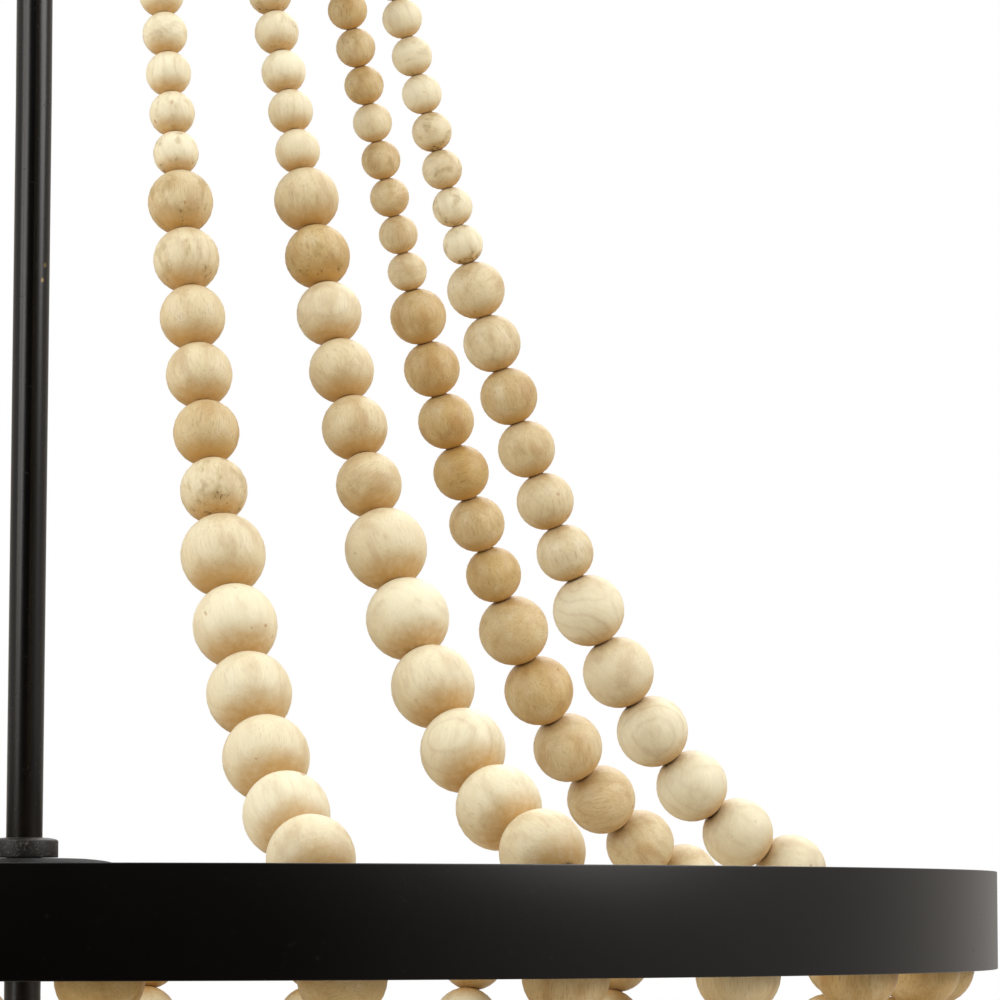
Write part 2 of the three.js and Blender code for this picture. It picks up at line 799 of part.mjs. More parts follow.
function lampSocket() {
  const top = socketBottom + socketHeight;
  const shoulder = socketBottom + socketFootHeight;
  return turned([
    [0, socketBottom], [socketFootRadius, socketBottom], [socketFootRadius, shoulder], [socketRadius, shoulder],
    [socketRadius, top], [socketBore, top], [socketBore, top - socketBoreDepth], [0, top - socketBoreDepth],
  ], rodSides).translate(0, lampCircle, 0);
}

function candleSleeve() {
  return tube(sleeveRadius, sleeveRadius - sleeveWall, sleeveBottom, sleeveTop, turnedSides)
    .translate(0, lampCircle, 0);
}

const lampAzimuths = Array.from({ length: lampCount }, (_, i) => (360 / lampCount) * (i + 0.5));

// Bottom

function bottomPlate() {
  const outline = circlePath(loopRadius + plateMargin, dishSides);
  const middle = circlePath(rodBore, rodSides);
  return plate(outline, middle, loopRadius, basketAzimuths, plateBottom, plateThickness);
}

function finial() {
  const top = plateBottom - seatGap;
  const outside = finialShares.map(([across, up]) => [across * finialRadius, top - (1 - up) * finialHeight]);
  const boreTop = top - finialBore;
  return turned([...outside, [rodBore, top], [rodBore, boreTop], [0, boreTop]], turnedSides);
}

piece('ceiling_bracket', ceilingBracket(), materials.steel);
piece('canopy_stud_left', canopyStud(-1), materials.steel);
piece('canopy_stud_right', canopyStud(1), materials.steel);
piece('canopy', canopy(), materials.metal);
piece('canopy_nut_left', capNut(-1), materials.brass);
piece('canopy_nut_right', capNut(1), materials.brass);
piece('swivel_lock_nut', lockNut(), materials.brass);
piece('swivel_fork', swivelFork(), materials.metal);
piece('swivel_pin', pivotScrew(), materials.brass);
piece('swivel_tongue', swivelTongue(), materials.metal);
piece('upper_stem', rod(stemBottom, stemTop), materials.metal);
piece('stem_coupling', stemCoupling(), materials.metal);
piece('crown_cap', crownCap(), materials.metal);
piece('crown_plate', crownPlate(), materials.metal);
piece('crown_nut', crownNut(), materials.brass);
piece('center_rod', rod(rodJoint + seatGap / 2, stemBottom - seatGap), materials.metal);
piece('hub_collar', rodCollar(), materials.metal);
piece('hub_disc', hubDisc(), materials.metal);
piece('spoke_frame', spokeFrame(), materials.metal);
piece('strand_ring', strandRing(), materials.metal);
piece('ring_band', ringBand(), materials.metal);
piece('lower_rod', rod(plateBottom - finialBore, rodJoint - seatGap / 2), materials.metal);
piece('lamp_body', lampBody(), materials.metal);
piece('bottom_plate', bottomPlate(), materials.metal);
piece('finial', finial(), materials.wood);

upperAzimuths.forEach((azimuth, i) => piece(`upper_strand_${i + 1}`, upperStrand(azimuth), materials.wood));

for (let i = 0; i < basketRuns / 2; i += 1) {
  const [near, far] = [basketAzimuths[i * 2], basketAzimuths[i * 2 + 1]];
  piece(`basket_strand_${i + 1}`, basketStrand(near, far), materials.wood);
}

lampAzimuths.forEach((azimuth, i) => {
  piece(`lamp_arm_${i + 1}`, lampArm(), materials.metal, azimuth);
  piece(`lamp_socket_${i + 1}`, lampSocket(), materials.socket, azimuth);
  piece(`candle_sleeve_${i + 1}`, candleSleeve(), materials.sleeve, azimuth);
});

export default chandelier;
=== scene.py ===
import math
import random

import bmesh
import bpy
import numpy as np
from mathutils import Matrix, Vector


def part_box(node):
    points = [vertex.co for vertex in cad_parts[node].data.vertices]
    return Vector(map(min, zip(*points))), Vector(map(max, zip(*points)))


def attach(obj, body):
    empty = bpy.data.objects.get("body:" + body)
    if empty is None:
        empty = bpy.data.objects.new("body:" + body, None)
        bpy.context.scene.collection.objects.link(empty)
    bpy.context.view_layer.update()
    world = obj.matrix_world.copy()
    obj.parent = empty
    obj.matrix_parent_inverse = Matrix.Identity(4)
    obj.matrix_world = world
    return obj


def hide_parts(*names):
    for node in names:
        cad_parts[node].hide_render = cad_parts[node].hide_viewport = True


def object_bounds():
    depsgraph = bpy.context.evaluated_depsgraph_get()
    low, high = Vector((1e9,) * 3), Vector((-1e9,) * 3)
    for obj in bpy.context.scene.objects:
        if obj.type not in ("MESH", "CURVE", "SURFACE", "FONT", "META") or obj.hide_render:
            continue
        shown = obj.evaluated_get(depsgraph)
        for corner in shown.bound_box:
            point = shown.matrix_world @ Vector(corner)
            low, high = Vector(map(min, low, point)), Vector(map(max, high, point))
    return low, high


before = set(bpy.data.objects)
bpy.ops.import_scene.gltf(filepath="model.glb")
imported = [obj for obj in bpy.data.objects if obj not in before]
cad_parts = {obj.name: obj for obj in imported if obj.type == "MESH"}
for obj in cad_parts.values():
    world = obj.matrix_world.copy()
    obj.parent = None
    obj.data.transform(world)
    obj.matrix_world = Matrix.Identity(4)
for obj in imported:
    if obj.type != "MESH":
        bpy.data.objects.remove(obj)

cad_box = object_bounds()
dice = random.Random(20)

# Lengths are in metres, angles in degrees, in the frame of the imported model: +Z up, front towards -Y.

# Beads, as in the solids
LARGE = 0.025
MEDIUM = 0.020
SMALL = 0.014
LARGE_COUNT = 6
MEDIUM_COUNT = 6
BASKET_MEDIUM_COUNT = 5
PITCH_SHARE = 0.96
BEAD_CUTS = {LARGE: (32, 14), MEDIUM: (28, 12), SMALL: (22, 10)}
BORE_SHARE = 0.2
BORE_SOFTENING_SHARE = 0.05
WIRE = 0.0016
CRIMP = 0.0040
CRIMP_HEIGHT = 0.0029

# Upper strands: a hanging chain in an upright plane
PAIR_SPREAD = 15.8
FIRST_PAIR = 30
PAIRS = 4
FOOT_INSET = 0.0407
FOOT_RISE = 0.00235
FOOT_PULL_SHARE = 0.2985
BEAD_WEIGHT_SHARE = 0.324
CROWN_STRAND_RADIUS = 0.1
HEAD_WIRE = 0.003
TAB_INSET = 0.0145
# How far each strand's beads have slid up its wire. The first four are read off gridded crops of the
# photograph, to half a millimetre. The others don't show and are made up.
SLIDES = (-0.0015, 0.003, -0.001, -0.0055, 0.001, -0.0015, 0.002, -0.001)
# How tan each upper strand is, from cream at 0 to tan at 1
UPPER_TONES = (0.20, 0.22, 0.18, 0.66, 0.35, 0.28, 0.45, 0.30)
# The same for the basket's strands, whose first beads, just below the band, are more tan than the others as
# painted shadow of the band
# The basket's tone is partly the wood's own, partly painted shade and warm bounce light below the ring
BASKET_TONE_AND_SHADE = 0.46
BASKET_TONE_RANGE = (-0.16, 0.2)
BAND_SHADOW_TONE = 0.28

# How beads differ, by size: a shift and a spread of the tone, and how spoilt they are, clean at 0 and less
TONE_SHIFTS = {LARGE: -0.06, MEDIUM: 0.21, SMALL: -0.16}
TONE_SPREADS = {LARGE: 0.12, MEDIUM: 0.18, SMALL: 0.18}
SPOILT_RANGES = {LARGE: (-1.5, 0.4), MEDIUM: (-0.9, 1.0), SMALL: (-0.9, 1.0)}
# Most beads' fibres run along the wire, within a few degrees. The others' lie askew or across it.
ALONG_CHANCE = 0.7
ALONG_SPREAD = 8
ACROSS_RANGE = (35, 90)
WIDTH_RANGE = (0.985, 1.0)
FIGURE_RANGE = (0.1, 1.0)
# Where a bead lies in the trunk, in centimetres: out from the pith, beside it and along it
TRUNK_RANGES = ((0.1, 3.0), (-0.6, 0.6), (0, 60))
CENTIMETRES = 100

# Basket strands: runs down a quarter ellipse
RUNS = 28
FIRST_RUN = 9.64
BASKET_INSET = 0.019
STRAND_DROP = 0.001
BASKET_DEPTH = 0.165
RUN_GAP = 0.0007
FACET_SHARE = 1.04
CURVE_STEPS = 240
# How far round some runs' top beads have swung from their holes, in degrees, by run. In the photograph the
# runs there stand 0.7 to 3.8 degrees further round than evenly spaced ones.
RUN_SWINGS = {2: 0.6, 3: 0.8, 4: 0.9, 5: 0.6}

# Camera, fitted to the ring's edges and the beads. It stands to the right of the middle and in front of it.
CAMERA_RIGHT = 0.1556
CAMERA_BACK = 1.56797
CAMERA_BELOW_RING_TOP = 0.01326
CAMERA_TURN = 0.23
CAMERA_PITCH = 4.968
LENS = 171.0
SENSOR = 36.0

# The rod leans a little in the photograph: by how much for each metre of height, from which height down to
# which, and the height at which the rod under the hub is back in the middle
LEAN = 0.0043
LEAN_FROM = -0.41
LEAN_TO = -0.705
LEAN_OVER = -0.768
LEAN_RINGS = 9
# The hub's disc and collar meet this much higher than in the solids, which is one pixel of the photograph
HUB_LIFT = 0.0003
# Two small places where the rod's paint is rubbed through, as (place, size)
ROD_MARKS = (((0.0047, -0.0037, -0.4646), 0.0008), ((0.0040, -0.0045, -0.4698), 0.0007))

# Ring, hub and rods
LEDGE_THICKNESS = 0.002
LEDGE_WIDTH = 0.025
TAB_THICKNESS = 0.002
TAB_HALF_WIDTH = 0.0045
BAND_GAP = 0.0003
WIRE_HOLE_RADIUS = 0.0017
SPOKE_HALF_WIDTH = 0.002
SPOKE_DEPTH = 0.014
HUB_RADIUS = 0.015
ROD_WALL = 0.0014
ROD_GAP = 0.0004
# The gap under what is seated on another piece
SEAT = 0.0003

# Visual details
EDGE = 0.0004
ROD_SIDES = 64
ROUND_SIDES = 128
BAND_SIDES = 288
LEDGE_SIDES = 192
NUT_SIDES = 48
UP = Vector((0, 0, 1))
QUARTER = math.pi / 2


def low(node):
    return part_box(node)[0]


def high(node):
    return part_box(node)[1]


def half_width(node):
    return (high(node).x - low(node).x) / 2


RING_RADIUS = half_width("ring_band")
RING_TOP = high("ring_band").z
RING_BOTTOM = low("ring_band").z
LEDGE_BOTTOM = low("strand_ring").z
LEDGE_TOP = LEDGE_BOTTOM + LEDGE_THICKNESS
CROWN_BOTTOM = low("crown_plate").z
CROWN_TOP = high("crown_plate").z
PLATE_BOTTOM = low("bottom_plate").z
PLATE_TOP = high("bottom_plate").z
ROD_RADIUS = high("center_rod").y
ROD_HOLE = ROD_RADIUS + ROD_GAP


def leaned(piece):
    """Moves a standing piece's vertices sideways by the rod's lean at their height."""
    for vertex in piece.data.vertices:
        height = vertex.co.z
        if height < LEAN_TO:
            left = max((height - LEAN_OVER) / (LEAN_TO - LEAN_OVER), 0.0)
            vertex.co.x += (LEAN_TO - LEAN_FROM) * LEAN * left * left * (3 - 2 * left)
        else:
            vertex.co.x += min(height - LEAN_FROM, 0.0) * LEAN
    return piece


def srgb(red, green, blue):
    """A colour as it shows on screen, 0 to 255, made linear."""
    parts = [channel / 255 for channel in (red, green, blue)]
    return (*[p / 12.92 if p <= 0.04045 else ((p + 0.055) / 1.055) ** 2.4 for p in parts], 1.0)


def on_circle(radius, azimuth, height=0.0):
    angle = math.radians(azimuth)
    return Vector((radius * math.sin(angle), -radius * math.cos(angle), height))


# Materials


class Nodes:
    """A short way to write a material's node tree."""

    def __init__(self, tree):
        self.tree = tree

    def add(self, kind, inputs=None, **settings):
        node = self.tree.nodes.new(kind)
        for name, value in settings.items():
            setattr(node, name, value)
        for name, value in (inputs or {}).items():
            if isinstance(value, bpy.types.NodeSocket):
                self.tree.links.new(value, node.inputs[name])
            else:
                node.inputs[name].default_value = value
        return node

    def math(self, operation, first, second=0.0, third=0.0, clamp=False):
        inputs = {0: first, 1: second, 2: third}
        return self.add("ShaderNodeMath", inputs, operation=operation, use_clamp=clamp).outputs[0]

    def product(self, first, *others):
        for other in others:
            first = self.math("MULTIPLY", first, other)
        return first

    def line(self, value, slope, start):
        """The value times the slope, plus the start."""
        return self.math("MULTIPLY_ADD", value, slope, start)

    def ramp(self, factor, low_value, high_value):
        """0 below low_value, 1 above high_value, and smooth between."""
        inputs = {"Value": factor, "From Min": low_value, "From Max": high_value}
        node = self.add("ShaderNodeMapRange", inputs, interpolation_type="SMOOTHSTEP")
        return node.outputs["Result"]

    def mix(self, factor, first, second, blend="MIX"):
        node = self.add("ShaderNodeMix", data_type="RGBA", blend_type=blend)
        for index, value in ((0, factor), (6, first), (7, second)):
            if isinstance(value, bpy.types.NodeSocket):
                self.tree.links.new(value, node.inputs[index])
            else:
                node.inputs[index].default_value = value
        return node.outputs[2]

    def noise(self, vector, scale, detail=2.0, roughness=0.5):
        inputs = {"Vector": vector, "Scale": scale, "Detail": detail, "Roughness": roughness}
        return self.add("ShaderNodeTexNoise", inputs).outputs["Fac"]

    def stretched(self, vector, factors):
        return self.add("ShaderNodeVectorMath", {0: vector, 1: factors}, operation="MULTIPLY").outputs[0]

    def place(self):
        return self.add("ShaderNodeTexCoord").outputs["Object"]

    def attribute(self, name, output="Fac"):
        return self.add("ShaderNodeAttribute", attribute_name=name).outputs[output]

    def bump(self, height, strength, distance):
        inputs = {"Height": height, "Strength": strength, "Distance": distance}
        return self.add("ShaderNodeBump", inputs).outputs["Normal"]


def new_material(name):
    material = bpy.data.materials.new(name)
    material.use_nodes = True
    tree = material.node_tree
    return material, Nodes(tree), tree.nodes["Principled BSDF"]


def set_shader(nodes, shader, **inputs):
    for name, value in inputs.items():
        socket = shader.inputs[name.replace("_", " ")]
        if isinstance(value, bpy.types.NodeSocket):
            nodes.tree.links.new(value, socket)
        else:
            socket.default_value = value


def black_paint(name, colour, roughness, gloss=0.5, dusty=0.16, dust_scale=420.0, grain=0.06, marks=()):
    """Satin black paint with a faint orange peel. A mark is a small place rubbed through to the brass."""
    material, nodes, shader = new_material(name)
    place = nodes.place()
    peel = nodes.noise(place, 900.0 + 1500.0 * grain, 2.0)
    clouds = nodes.noise(place, 14.0, 3.0)
    dust = nodes.ramp(nodes.noise(place, dust_scale, 2.0, 0.6), 0.66 - 0.14 * dusty, 0.8 - 0.12 * dusty)
    tint = nodes.mix(clouds, colour, tuple(c * 1.5 for c in colour[:3]) + (1.0,))
    tint = nodes.mix(nodes.product(dust, dusty), tint, srgb(92, 84, 76))
    rough = nodes.line(dust, 0.12, nodes.line(clouds, 0.10, roughness - 0.05))
    metallic = 0.0
    if marks:
        ragged = nodes.noise(place, 1500.0, 3.0)
        worn = 0.0
        for spot, size in marks:
            away = nodes.add("ShaderNodeVectorMath", {0: place, 1: spot}, operation="DISTANCE")
            reach = nodes.line(ragged, size, size * 0.5)
            worn = nodes.math("MAXIMUM", nodes.math("LESS_THAN", away.outputs["Value"], reach), worn)
        tint = nodes.mix(worn, tint, srgb(128, 112, 80))
        metallic = nodes.product(worn, 0.9)
    set_shader(nodes, shader, Base_Color=tint, Roughness=rough, Metallic=metallic, Specular_IOR_Level=gloss,
               Normal=nodes.bump(peel, grain, 0.0002))
    return material


def bare_metal(name, colour, dark, roughness, scale=300.0):
    """Turned or plated metal with fine tool lines and a little tarnish."""
    material, nodes, shader = new_material(name)
    place = nodes.place()
    lines = nodes.noise(nodes.stretched(place, (0.15, 0.15, 9.0)), scale, 2.0)
    tarnish = nodes.ramp(nodes.noise(place, 60.0, 4.0, 0.6), 0.4, 0.75)
    tint = nodes.mix(tarnish, colour, dark)
    rough = nodes.line(tarnish, 0.2, roughness)
    set_shader(nodes, shader, Base_Color=tint, Roughness=rough, Metallic=1.0,
               Normal=nodes.bump(lines, 0.08, 0.0002))
    return material


def smooth_ceramic(name, colour):
    material, nodes, shader = new_material(name)
    place = nodes.place()
    clouds = nodes.noise(place, 80.0, 3.0)
    specks = nodes.ramp(nodes.noise(place, 700.0, 1.0), 0.7, 0.8)
    tint = nodes.mix(nodes.product(specks, 0.3), colour, srgb(170, 160, 140))
    rough = nodes.line(clouds, 0.1, 0.3)
    set_shader(nodes, shader, Base_Color=tint, Roughness=rough, Normal=nodes.bump(clouds, 0.05, 0.0003))
    return material


def bead_wood(name):
    """Bare turned wood. The mesh carries each bead's own fibre coordinates in centimetres, and its tone."""
    material, nodes, shader = new_material(name)
    fibre = nodes.attribute("fibre", "Vector")
    # The tone is the wood's own, but for the basket's beads it also holds painted shade
    tone = nodes.attribute("tone")
    figure = nodes.attribute("figure")
    spoilt = nodes.attribute("pits")
    pole = nodes.attribute("pole")
    ends = nodes.math("ABSOLUTE", pole)

    def along_fibre(factors, detail, roughness=0.5):
        return nodes.noise(nodes.stretched(fibre, factors), 1.0, detail, roughness)

    # Year rings, streaks and fine hairs
    warp = nodes.add("ShaderNodeTexNoise", {"Vector": fibre, "Scale": 0.8, "Detail": 2.0}).outputs["Color"]
    bend = {0: warp, 1: (0.5, 0.5, 0.2), 2: fibre}
    bent = nodes.add("ShaderNodeVectorMath", bend, operation="MULTIPLY_ADD").outputs[0]
    wave = {"Vector": bent, "Scale": 0.85, "Distortion": 0.7, "Detail": 1.0, "Detail Scale": 0.8}
    rings = nodes.add("ShaderNodeTexWave", wave, wave_type="RINGS", rings_direction="Z").outputs["Fac"]
    late = nodes.math("POWER", rings, 7.0)
    streaks = along_fibre((16.0, 16.0, 1.1), 3.0, 0.6)
    grainy = nodes.math("MULTIPLY_ADD", streaks, 0.6, -0.22, clamp=True)
    hairs = nodes.ramp(along_fibre((30.0, 30.0, 2.2), 2.0), 0.52, 0.72)
    aged = nodes.line(tone, 0.85, 0.15)

    # Clouds, stains towards the ends with painted shade where beads touch, painted shade on each bead's lower
    # side, and smudges
    clouds = along_fibre((1.3, 1.3, 0.7), 3.0, 0.55)
    stained = along_fibre((5.0, 5.0, 5.0), 3.0, 0.6)
    # Both ends darker: partly a stain of the end grain, partly painted shade where the beads touch
    end_stain_and_contact_shade = nodes.product(nodes.ramp(ends, 0.3, 1.0), nodes.line(stained, 0.9, 0.1))
    # Painted shade and warm bounce light: each bead's lower side is tinted tan towards its lower bore
    painted_underside_shade = nodes.product(nodes.ramp(pole, -0.35, -1.0), nodes.line(stained, 0.7, 0.25))
    patches = nodes.ramp(along_fibre((2.6, 2.6, 1.7), 2.0), 0.5, 0.68)
    smudge = nodes.product(patches, stained, spoilt)
    knots = nodes.ramp(along_fibre((2.8, 2.8, 2.2), 1.0), 0.75, 0.82)
    bore = nodes.ramp(ends, 0.955, 1.0)

    # Pits, more of them in smudges and towards the lower bore
    grit = along_fibre((13.0, 13.0, 8.0), 3.0, 0.65)
    near_bore = nodes.product(nodes.ramp(pole, -0.3, -0.95), 0.11, nodes.math("ADD", spoilt, 0.4))
    pitted = nodes.math("SUBTRACT", nodes.line(smudge, -0.3, 0.78), near_bore)
    pit = nodes.ramp(grit, pitted, nodes.math("ADD", pitted, 0.035))

    layers = (
        (nodes.product(late, figure, 0.17), srgb(172, 128, 72)),
        (nodes.product(nodes.ramp(clouds, 0.46, 0.7), nodes.line(tone, 0.5, 0.2)), srgb(182, 138, 76)),
        (nodes.product(nodes.ramp(clouds, 0.46, 0.3), 0.28), srgb(245, 236, 208)),
        (nodes.product(hairs, aged, 0.55), srgb(140, 104, 58)),
        (nodes.product(grainy, nodes.line(figure, 0.6, 0.4), nodes.line(tone, 0.5, 0.5)), srgb(166, 128, 74)),
        # end-grain stain and painted contact shade
        (nodes.product(end_stain_and_contact_shade, 0.6), srgb(162, 126, 56)),
        # painted shade on each bead's lower side
        (painted_underside_shade, srgb(212, 156, 66)),
        (nodes.product(smudge, 0.9), srgb(168, 138, 72)),
        (nodes.product(knots, 0.6), srgb(176, 116, 60)),
        (nodes.product(bore, 0.6), srgb(104, 66, 32)),
        (nodes.product(pit, 0.8), srgb(104, 70, 34)),
    )
    base = nodes.mix(tone, srgb(250, 240, 207), srgb(204, 172, 108))
    for amount, colour in layers:
        base = nodes.mix(amount, base, colour)
    height = nodes.line(streaks, 0.6, nodes.product(pit, -1.2))
    rough = nodes.line(streaks, 0.12, 0.42)
    set_shader(nodes, shader, Base_Color=base, Roughness=rough, Specular_IOR_Level=0.5, Sheen_Weight=0.04,
               Sheen_Roughness=0.4, Normal=nodes.bump(height, 0.16, 0.0003))
    return material


# Meshes


def bevelled(piece, width, angle):
    bevel = piece.modifiers.new("edges", "BEVEL")
    bevel.width = width
    bevel.segments = 2
    bevel.limit_method = "ANGLE"
    bevel.angle_limit = math.radians(angle)


def new_piece(name, vertices, faces, material, body, replaces=(), smooth=None, edge=None):
    """Makes an object of a mesh. Edges sharper than the smooth angle stay crisp."""
    mesh = bpy.data.meshes.new(name)
    mesh.from_pydata([tuple(v) for v in vertices], [], faces)
    mesh.validate()
    piece = bpy.data.objects.new(name, mesh)
    bpy.context.scene.collection.objects.link(piece)
    mesh.materials.append(material)
    if edge:
        bevelled(piece, edge, 50)
    if smooth:
        mesh.set_sharp_from_angle(angle=math.radians(smooth))
        mesh.polygons.foreach_set("use_smooth", [True] * len(mesh.polygons))
    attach(piece, body)
    if replaces:
        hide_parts(*replaces)
    return piece


def filleted(profile, radius, closed, steps=3):
    """A profile with its corners rounded. The ends of an open one stay."""
    points = [Vector(p) for p in profile]
    count = len(points)
    out = []
    for i, corner in enumerate(points):
        if not closed and i in (0, count - 1):
            out.append(corner)
            continue
        before, after = points[i - 1], points[(i + 1) % count]
        to_before, to_after = before - corner, after - corner
        if to_before.length < 1e-9 or to_after.length < 1e-9:
            continue
        cut = min(radius, to_before.length * 0.45, to_after.length * 0.45)
        start = corner + to_before.normalized() * cut
        end = corner + to_after.normalized() * cut
        for k in range(steps + 1):
            t = k / steps
            out.append(start * (1 - t) ** 2 + corner * 2 * t * (1 - t) + end * t ** 2)
    return out


def spun(profile, sides, closed=True):
    """Vertices and faces of a (radius, height) profile turned about Z. An open one starts and ends on Z."""
    vertices, faces, rings = [], [], []
    for radius, height in profile:
        if radius < 1e-7:
            rings.append([len(vertices)])
            vertices.append((0.0, 0.0, height))
            continue
        rings.append(list(range(len(vertices), len(vertices) + sides)))
        for i in range(sides):
            angle = 2 * math.pi * i / sides
            vertices.append((radius * math.cos(angle), radius * math.sin(angle), height))
    pairs = list(zip(rings, rings[1:])) + ([(rings[-1], rings[0])] if closed else [])
    for lower, upper in pairs:
        for i in range(sides):
            j = (i + 1) % sides
            if len(lower) == 1 and len(upper) == 1:
                continue
            if len(lower) == 1:
                faces.append((lower[0], upper[j], upper[i]))
            elif len(upper) == 1:
                faces.append((lower[i], lower[j], upper[0]))
            else:
                faces.append((lower[i], lower[j], upper[j], upper[i]))
    return vertices, faces


def moved(vertices, matrix):
    return [matrix @ Vector(v) for v in vertices]


def turned(name, profile, material, body, replaces=(), closed=True, sides=ROUND_SIDES, edge=EDGE,
           place=None, smooth=40):
    """A turned piece. The profile runs outwards at the bottom and up, so that its faces look out."""
    rounded = filleted(profile, edge, closed) if edge else profile
    vertices, faces = spun(rounded, sides, closed)
    if place is not None:
        vertices = moved(vertices, place)
    return new_piece(name, vertices, faces, material, body, replaces, smooth)


def pipe(name, outer, inner, bottom, top, material, body, replaces=(), sides=ROUND_SIDES,
         place=None):
    profile = [(inner, bottom), (outer, bottom), (outer, top), (inner, top)]
    return turned(name, profile, material, body, replaces, sides=sides, place=place)


def circle(radius, sides, centre=(0.0, 0.0)):
    turns = [2 * math.pi * i / sides for i in range(sides)]
    return [(centre[0] + radius * math.cos(t), centre[1] + radius * math.sin(t)) for t in turns]


def arc_angles(sweep, steps):
    return [sweep * k / steps for k in range(steps + 1)]


def wire_holes(radius, azimuths):
    return [circle(WIRE_HOLE_RADIUS, 12, on_circle(radius, azimuth).xy) for azimuth in azimuths]


def prism(outline, holes, bottom, top):
    """Vertices and faces of a flat shape with holes, between two heights."""
    mesh = bmesh.new()
    for loop in [outline, *holes]:
        corners = [mesh.verts.new((x, y, bottom)) for x, y in loop]
        for i, corner in enumerate(corners):
            mesh.edges.new((corner, corners[(i + 1) % len(corners)]))
    bmesh.ops.triangle_fill(mesh, use_beauty=True, use_dissolve=False, edges=mesh.edges[:])
    grown = bmesh.ops.extrude_face_region(mesh, geom=mesh.faces[:])["geom"]
    for element in grown:
        if isinstance(element, bmesh.types.BMVert):
            element.co.z = top
    bmesh.ops.recalc_face_normals(mesh, faces=mesh.faces[:])
    mesh.verts.index_update()
    vertices = [v.co.copy() for v in mesh.verts]
    faces = [tuple(v.index for v in f.verts) for f in mesh.faces]
    mesh.free()
    return vertices, faces


def plate(name, outline, holes, bottom, top, material, body, replaces=(), place=None, edge=EDGE):
    vertices, faces = prism(outline, holes, bottom, top)
    if place is not None:
        vertices = moved(vertices, place)
    return new_piece(name, vertices, faces, material, body, replaces, smooth=40, edge=edge)


def tube_along(points, radii, sides):
    """Vertices and faces of a round skin along a path, closed at both ends."""
    vertices, faces = [], []
    tangents = []
    for i in range(len(points)):
        before, after = points[max(i - 1, 0)], points[min(i + 1, len(points) - 1)]
        tangents.append((after - before).normalized())
    normal = tangents[0].orthogonal().normalized()
    for i, (point, radius, tangent) in enumerate(zip(points, radii, tangents)):
        if i:
            normal = tangents[i - 1].rotation_difference(tangent) @ normal
        normal = (normal - tangent * normal.dot(tangent)).normalized()
        binormal = tangent.cross(normal)
        for k in range(sides):
            angle = 2 * math.pi * k / sides
            vertices.append(point + (normal * math.cos(angle) + binormal * math.sin(angle)) * radius)
    for i in range(len(points) - 1):
        for k in range(sides):
            a, b = i * sides + k, i * sides + (k + 1) % sides
            faces.append((a, b, b + sides, a + sides))
    faces.append(tuple(reversed(range(sides))))
    faces.append(tuple(range((len(points) - 1) * sides, len(points) * sides)))
    return vertices, faces


def smooth_path(points, steps):
    """A Catmull-Rom curve through the points."""
    ends = [points[0] * 2 - points[1], *points, points[-1] * 2 - points[-2]]
    out = []
    for a, b, c, d in zip(ends, ends[1:], ends[2:], ends[3:]):
        for k in range(steps):
            t = k / steps
            out.append(0.5 * (2 * b + (c - a) * t + (2 * a - 5 * b + 4 * c - d) * t ** 2
                              + (3 * b - a - 3 * c + d) * t ** 3))
    return out + [points[-1]]


# Bead strings


def graded(number, mediums):
    if number < LARGE_COUNT:
        return LARGE
    return MEDIUM if number < LARGE_COUNT + mediums else SMALL


def hang_upper_beads():
    """The places of an upper strand's beads as (radius, height, diameter)."""
    beads = []
    radius, height, steepness = RING_RADIUS - FOOT_INSET, RING_TOP + FOOT_RISE, FOOT_PULL_SHARE
    while True:
        diameter = graded(len(beads), MEDIUM_COUNT)
        following = steepness + BEAD_WEIGHT_SHARE * (diameter / LARGE) ** 3
        wire = (radius - CROWN_STRAND_RADIUS) * math.hypot(1, following)
        if wire < PITCH_SHARE * diameter / 2 + HEAD_WIRE:
            return beads
        beads.append((radius, height, diameter))
        steepness = following
        link = PITCH_SHARE * (diameter + graded(len(beads), MEDIUM_COUNT)) / 2
        radius -= link / math.hypot(1, steepness)
        height += link * steepness / math.hypot(1, steepness)


def basket_beads():
    """The places of a basket run's beads as (radius, height, diameter), down a quarter ellipse."""
    run_angle = 2 * math.pi / RUNS
    outer = RING_RADIUS - BASKET_INSET
    inner = (SMALL * FACET_SHARE + RUN_GAP) / run_angle - SMALL
    start = LEDGE_BOTTOM - STRAND_DROP
    curve, covered = [], [0.0]
    for i in range(CURVE_STEPS + 1):
        angle = math.pi / 2 * i / CURVE_STEPS
        curve.append((inner + (outer - inner) * math.cos(angle), start - BASKET_DEPTH * math.sin(angle)))
        if i:
            covered.append(covered[-1] + math.dist(curve[-1], curve[-2]))
    radii, heights = zip(*curve)
    beads, edge = [], 0.0
    while True:
        wanted = graded(len(beads), BASKET_MEDIUM_COUNT)
        for diameter in (wanted, MEDIUM, SMALL):
            middle = edge + PITCH_SHARE * diameter / 2
            if diameter > wanted or middle >= covered[-1]:
                continue
            radius = float(np.interp(middle, covered, radii))
            if radius * run_angle - RUN_GAP >= diameter * FACET_SHARE:
                beads.append((radius, float(np.interp(middle, covered, heights)), diameter))
                edge += PITCH_SHARE * diameter
                break
        else:
            return beads, inner


def bead_form(diameter):
    """One bead about Z, as points and quads: a ball with a softened bore, as long as its size's pitch."""
    sides, cuts = BEAD_CUTS[diameter]
    radius = diameter / 2
    bore = radius * BORE_SHARE
    lip = math.asin(BORE_SHARE + BORE_SOFTENING_SHARE)
    squash = PITCH_SHARE / math.cos(lip)
    profile = []
    for i in range(cuts + 1):
        angle = math.pi - lip - (math.pi - 2 * lip) * i / cuts
        profile.append((radius * math.sin(angle), radius * math.cos(angle) * squash))
    sink = radius * PITCH_SHARE - radius * BORE_SOFTENING_SHARE
    profile += [(bore, sink), (bore, -sink)]
    vertices, faces = spun(profile, sides)
    return np.array(vertices), np.array(faces)


BEAD_FORMS = {diameter: bead_form(diameter) for diameter in BEAD_CUTS}


def turn_to(direction):
    """The rotation that takes Z to a direction."""
    return UP.rotation_difference(direction).to_matrix()


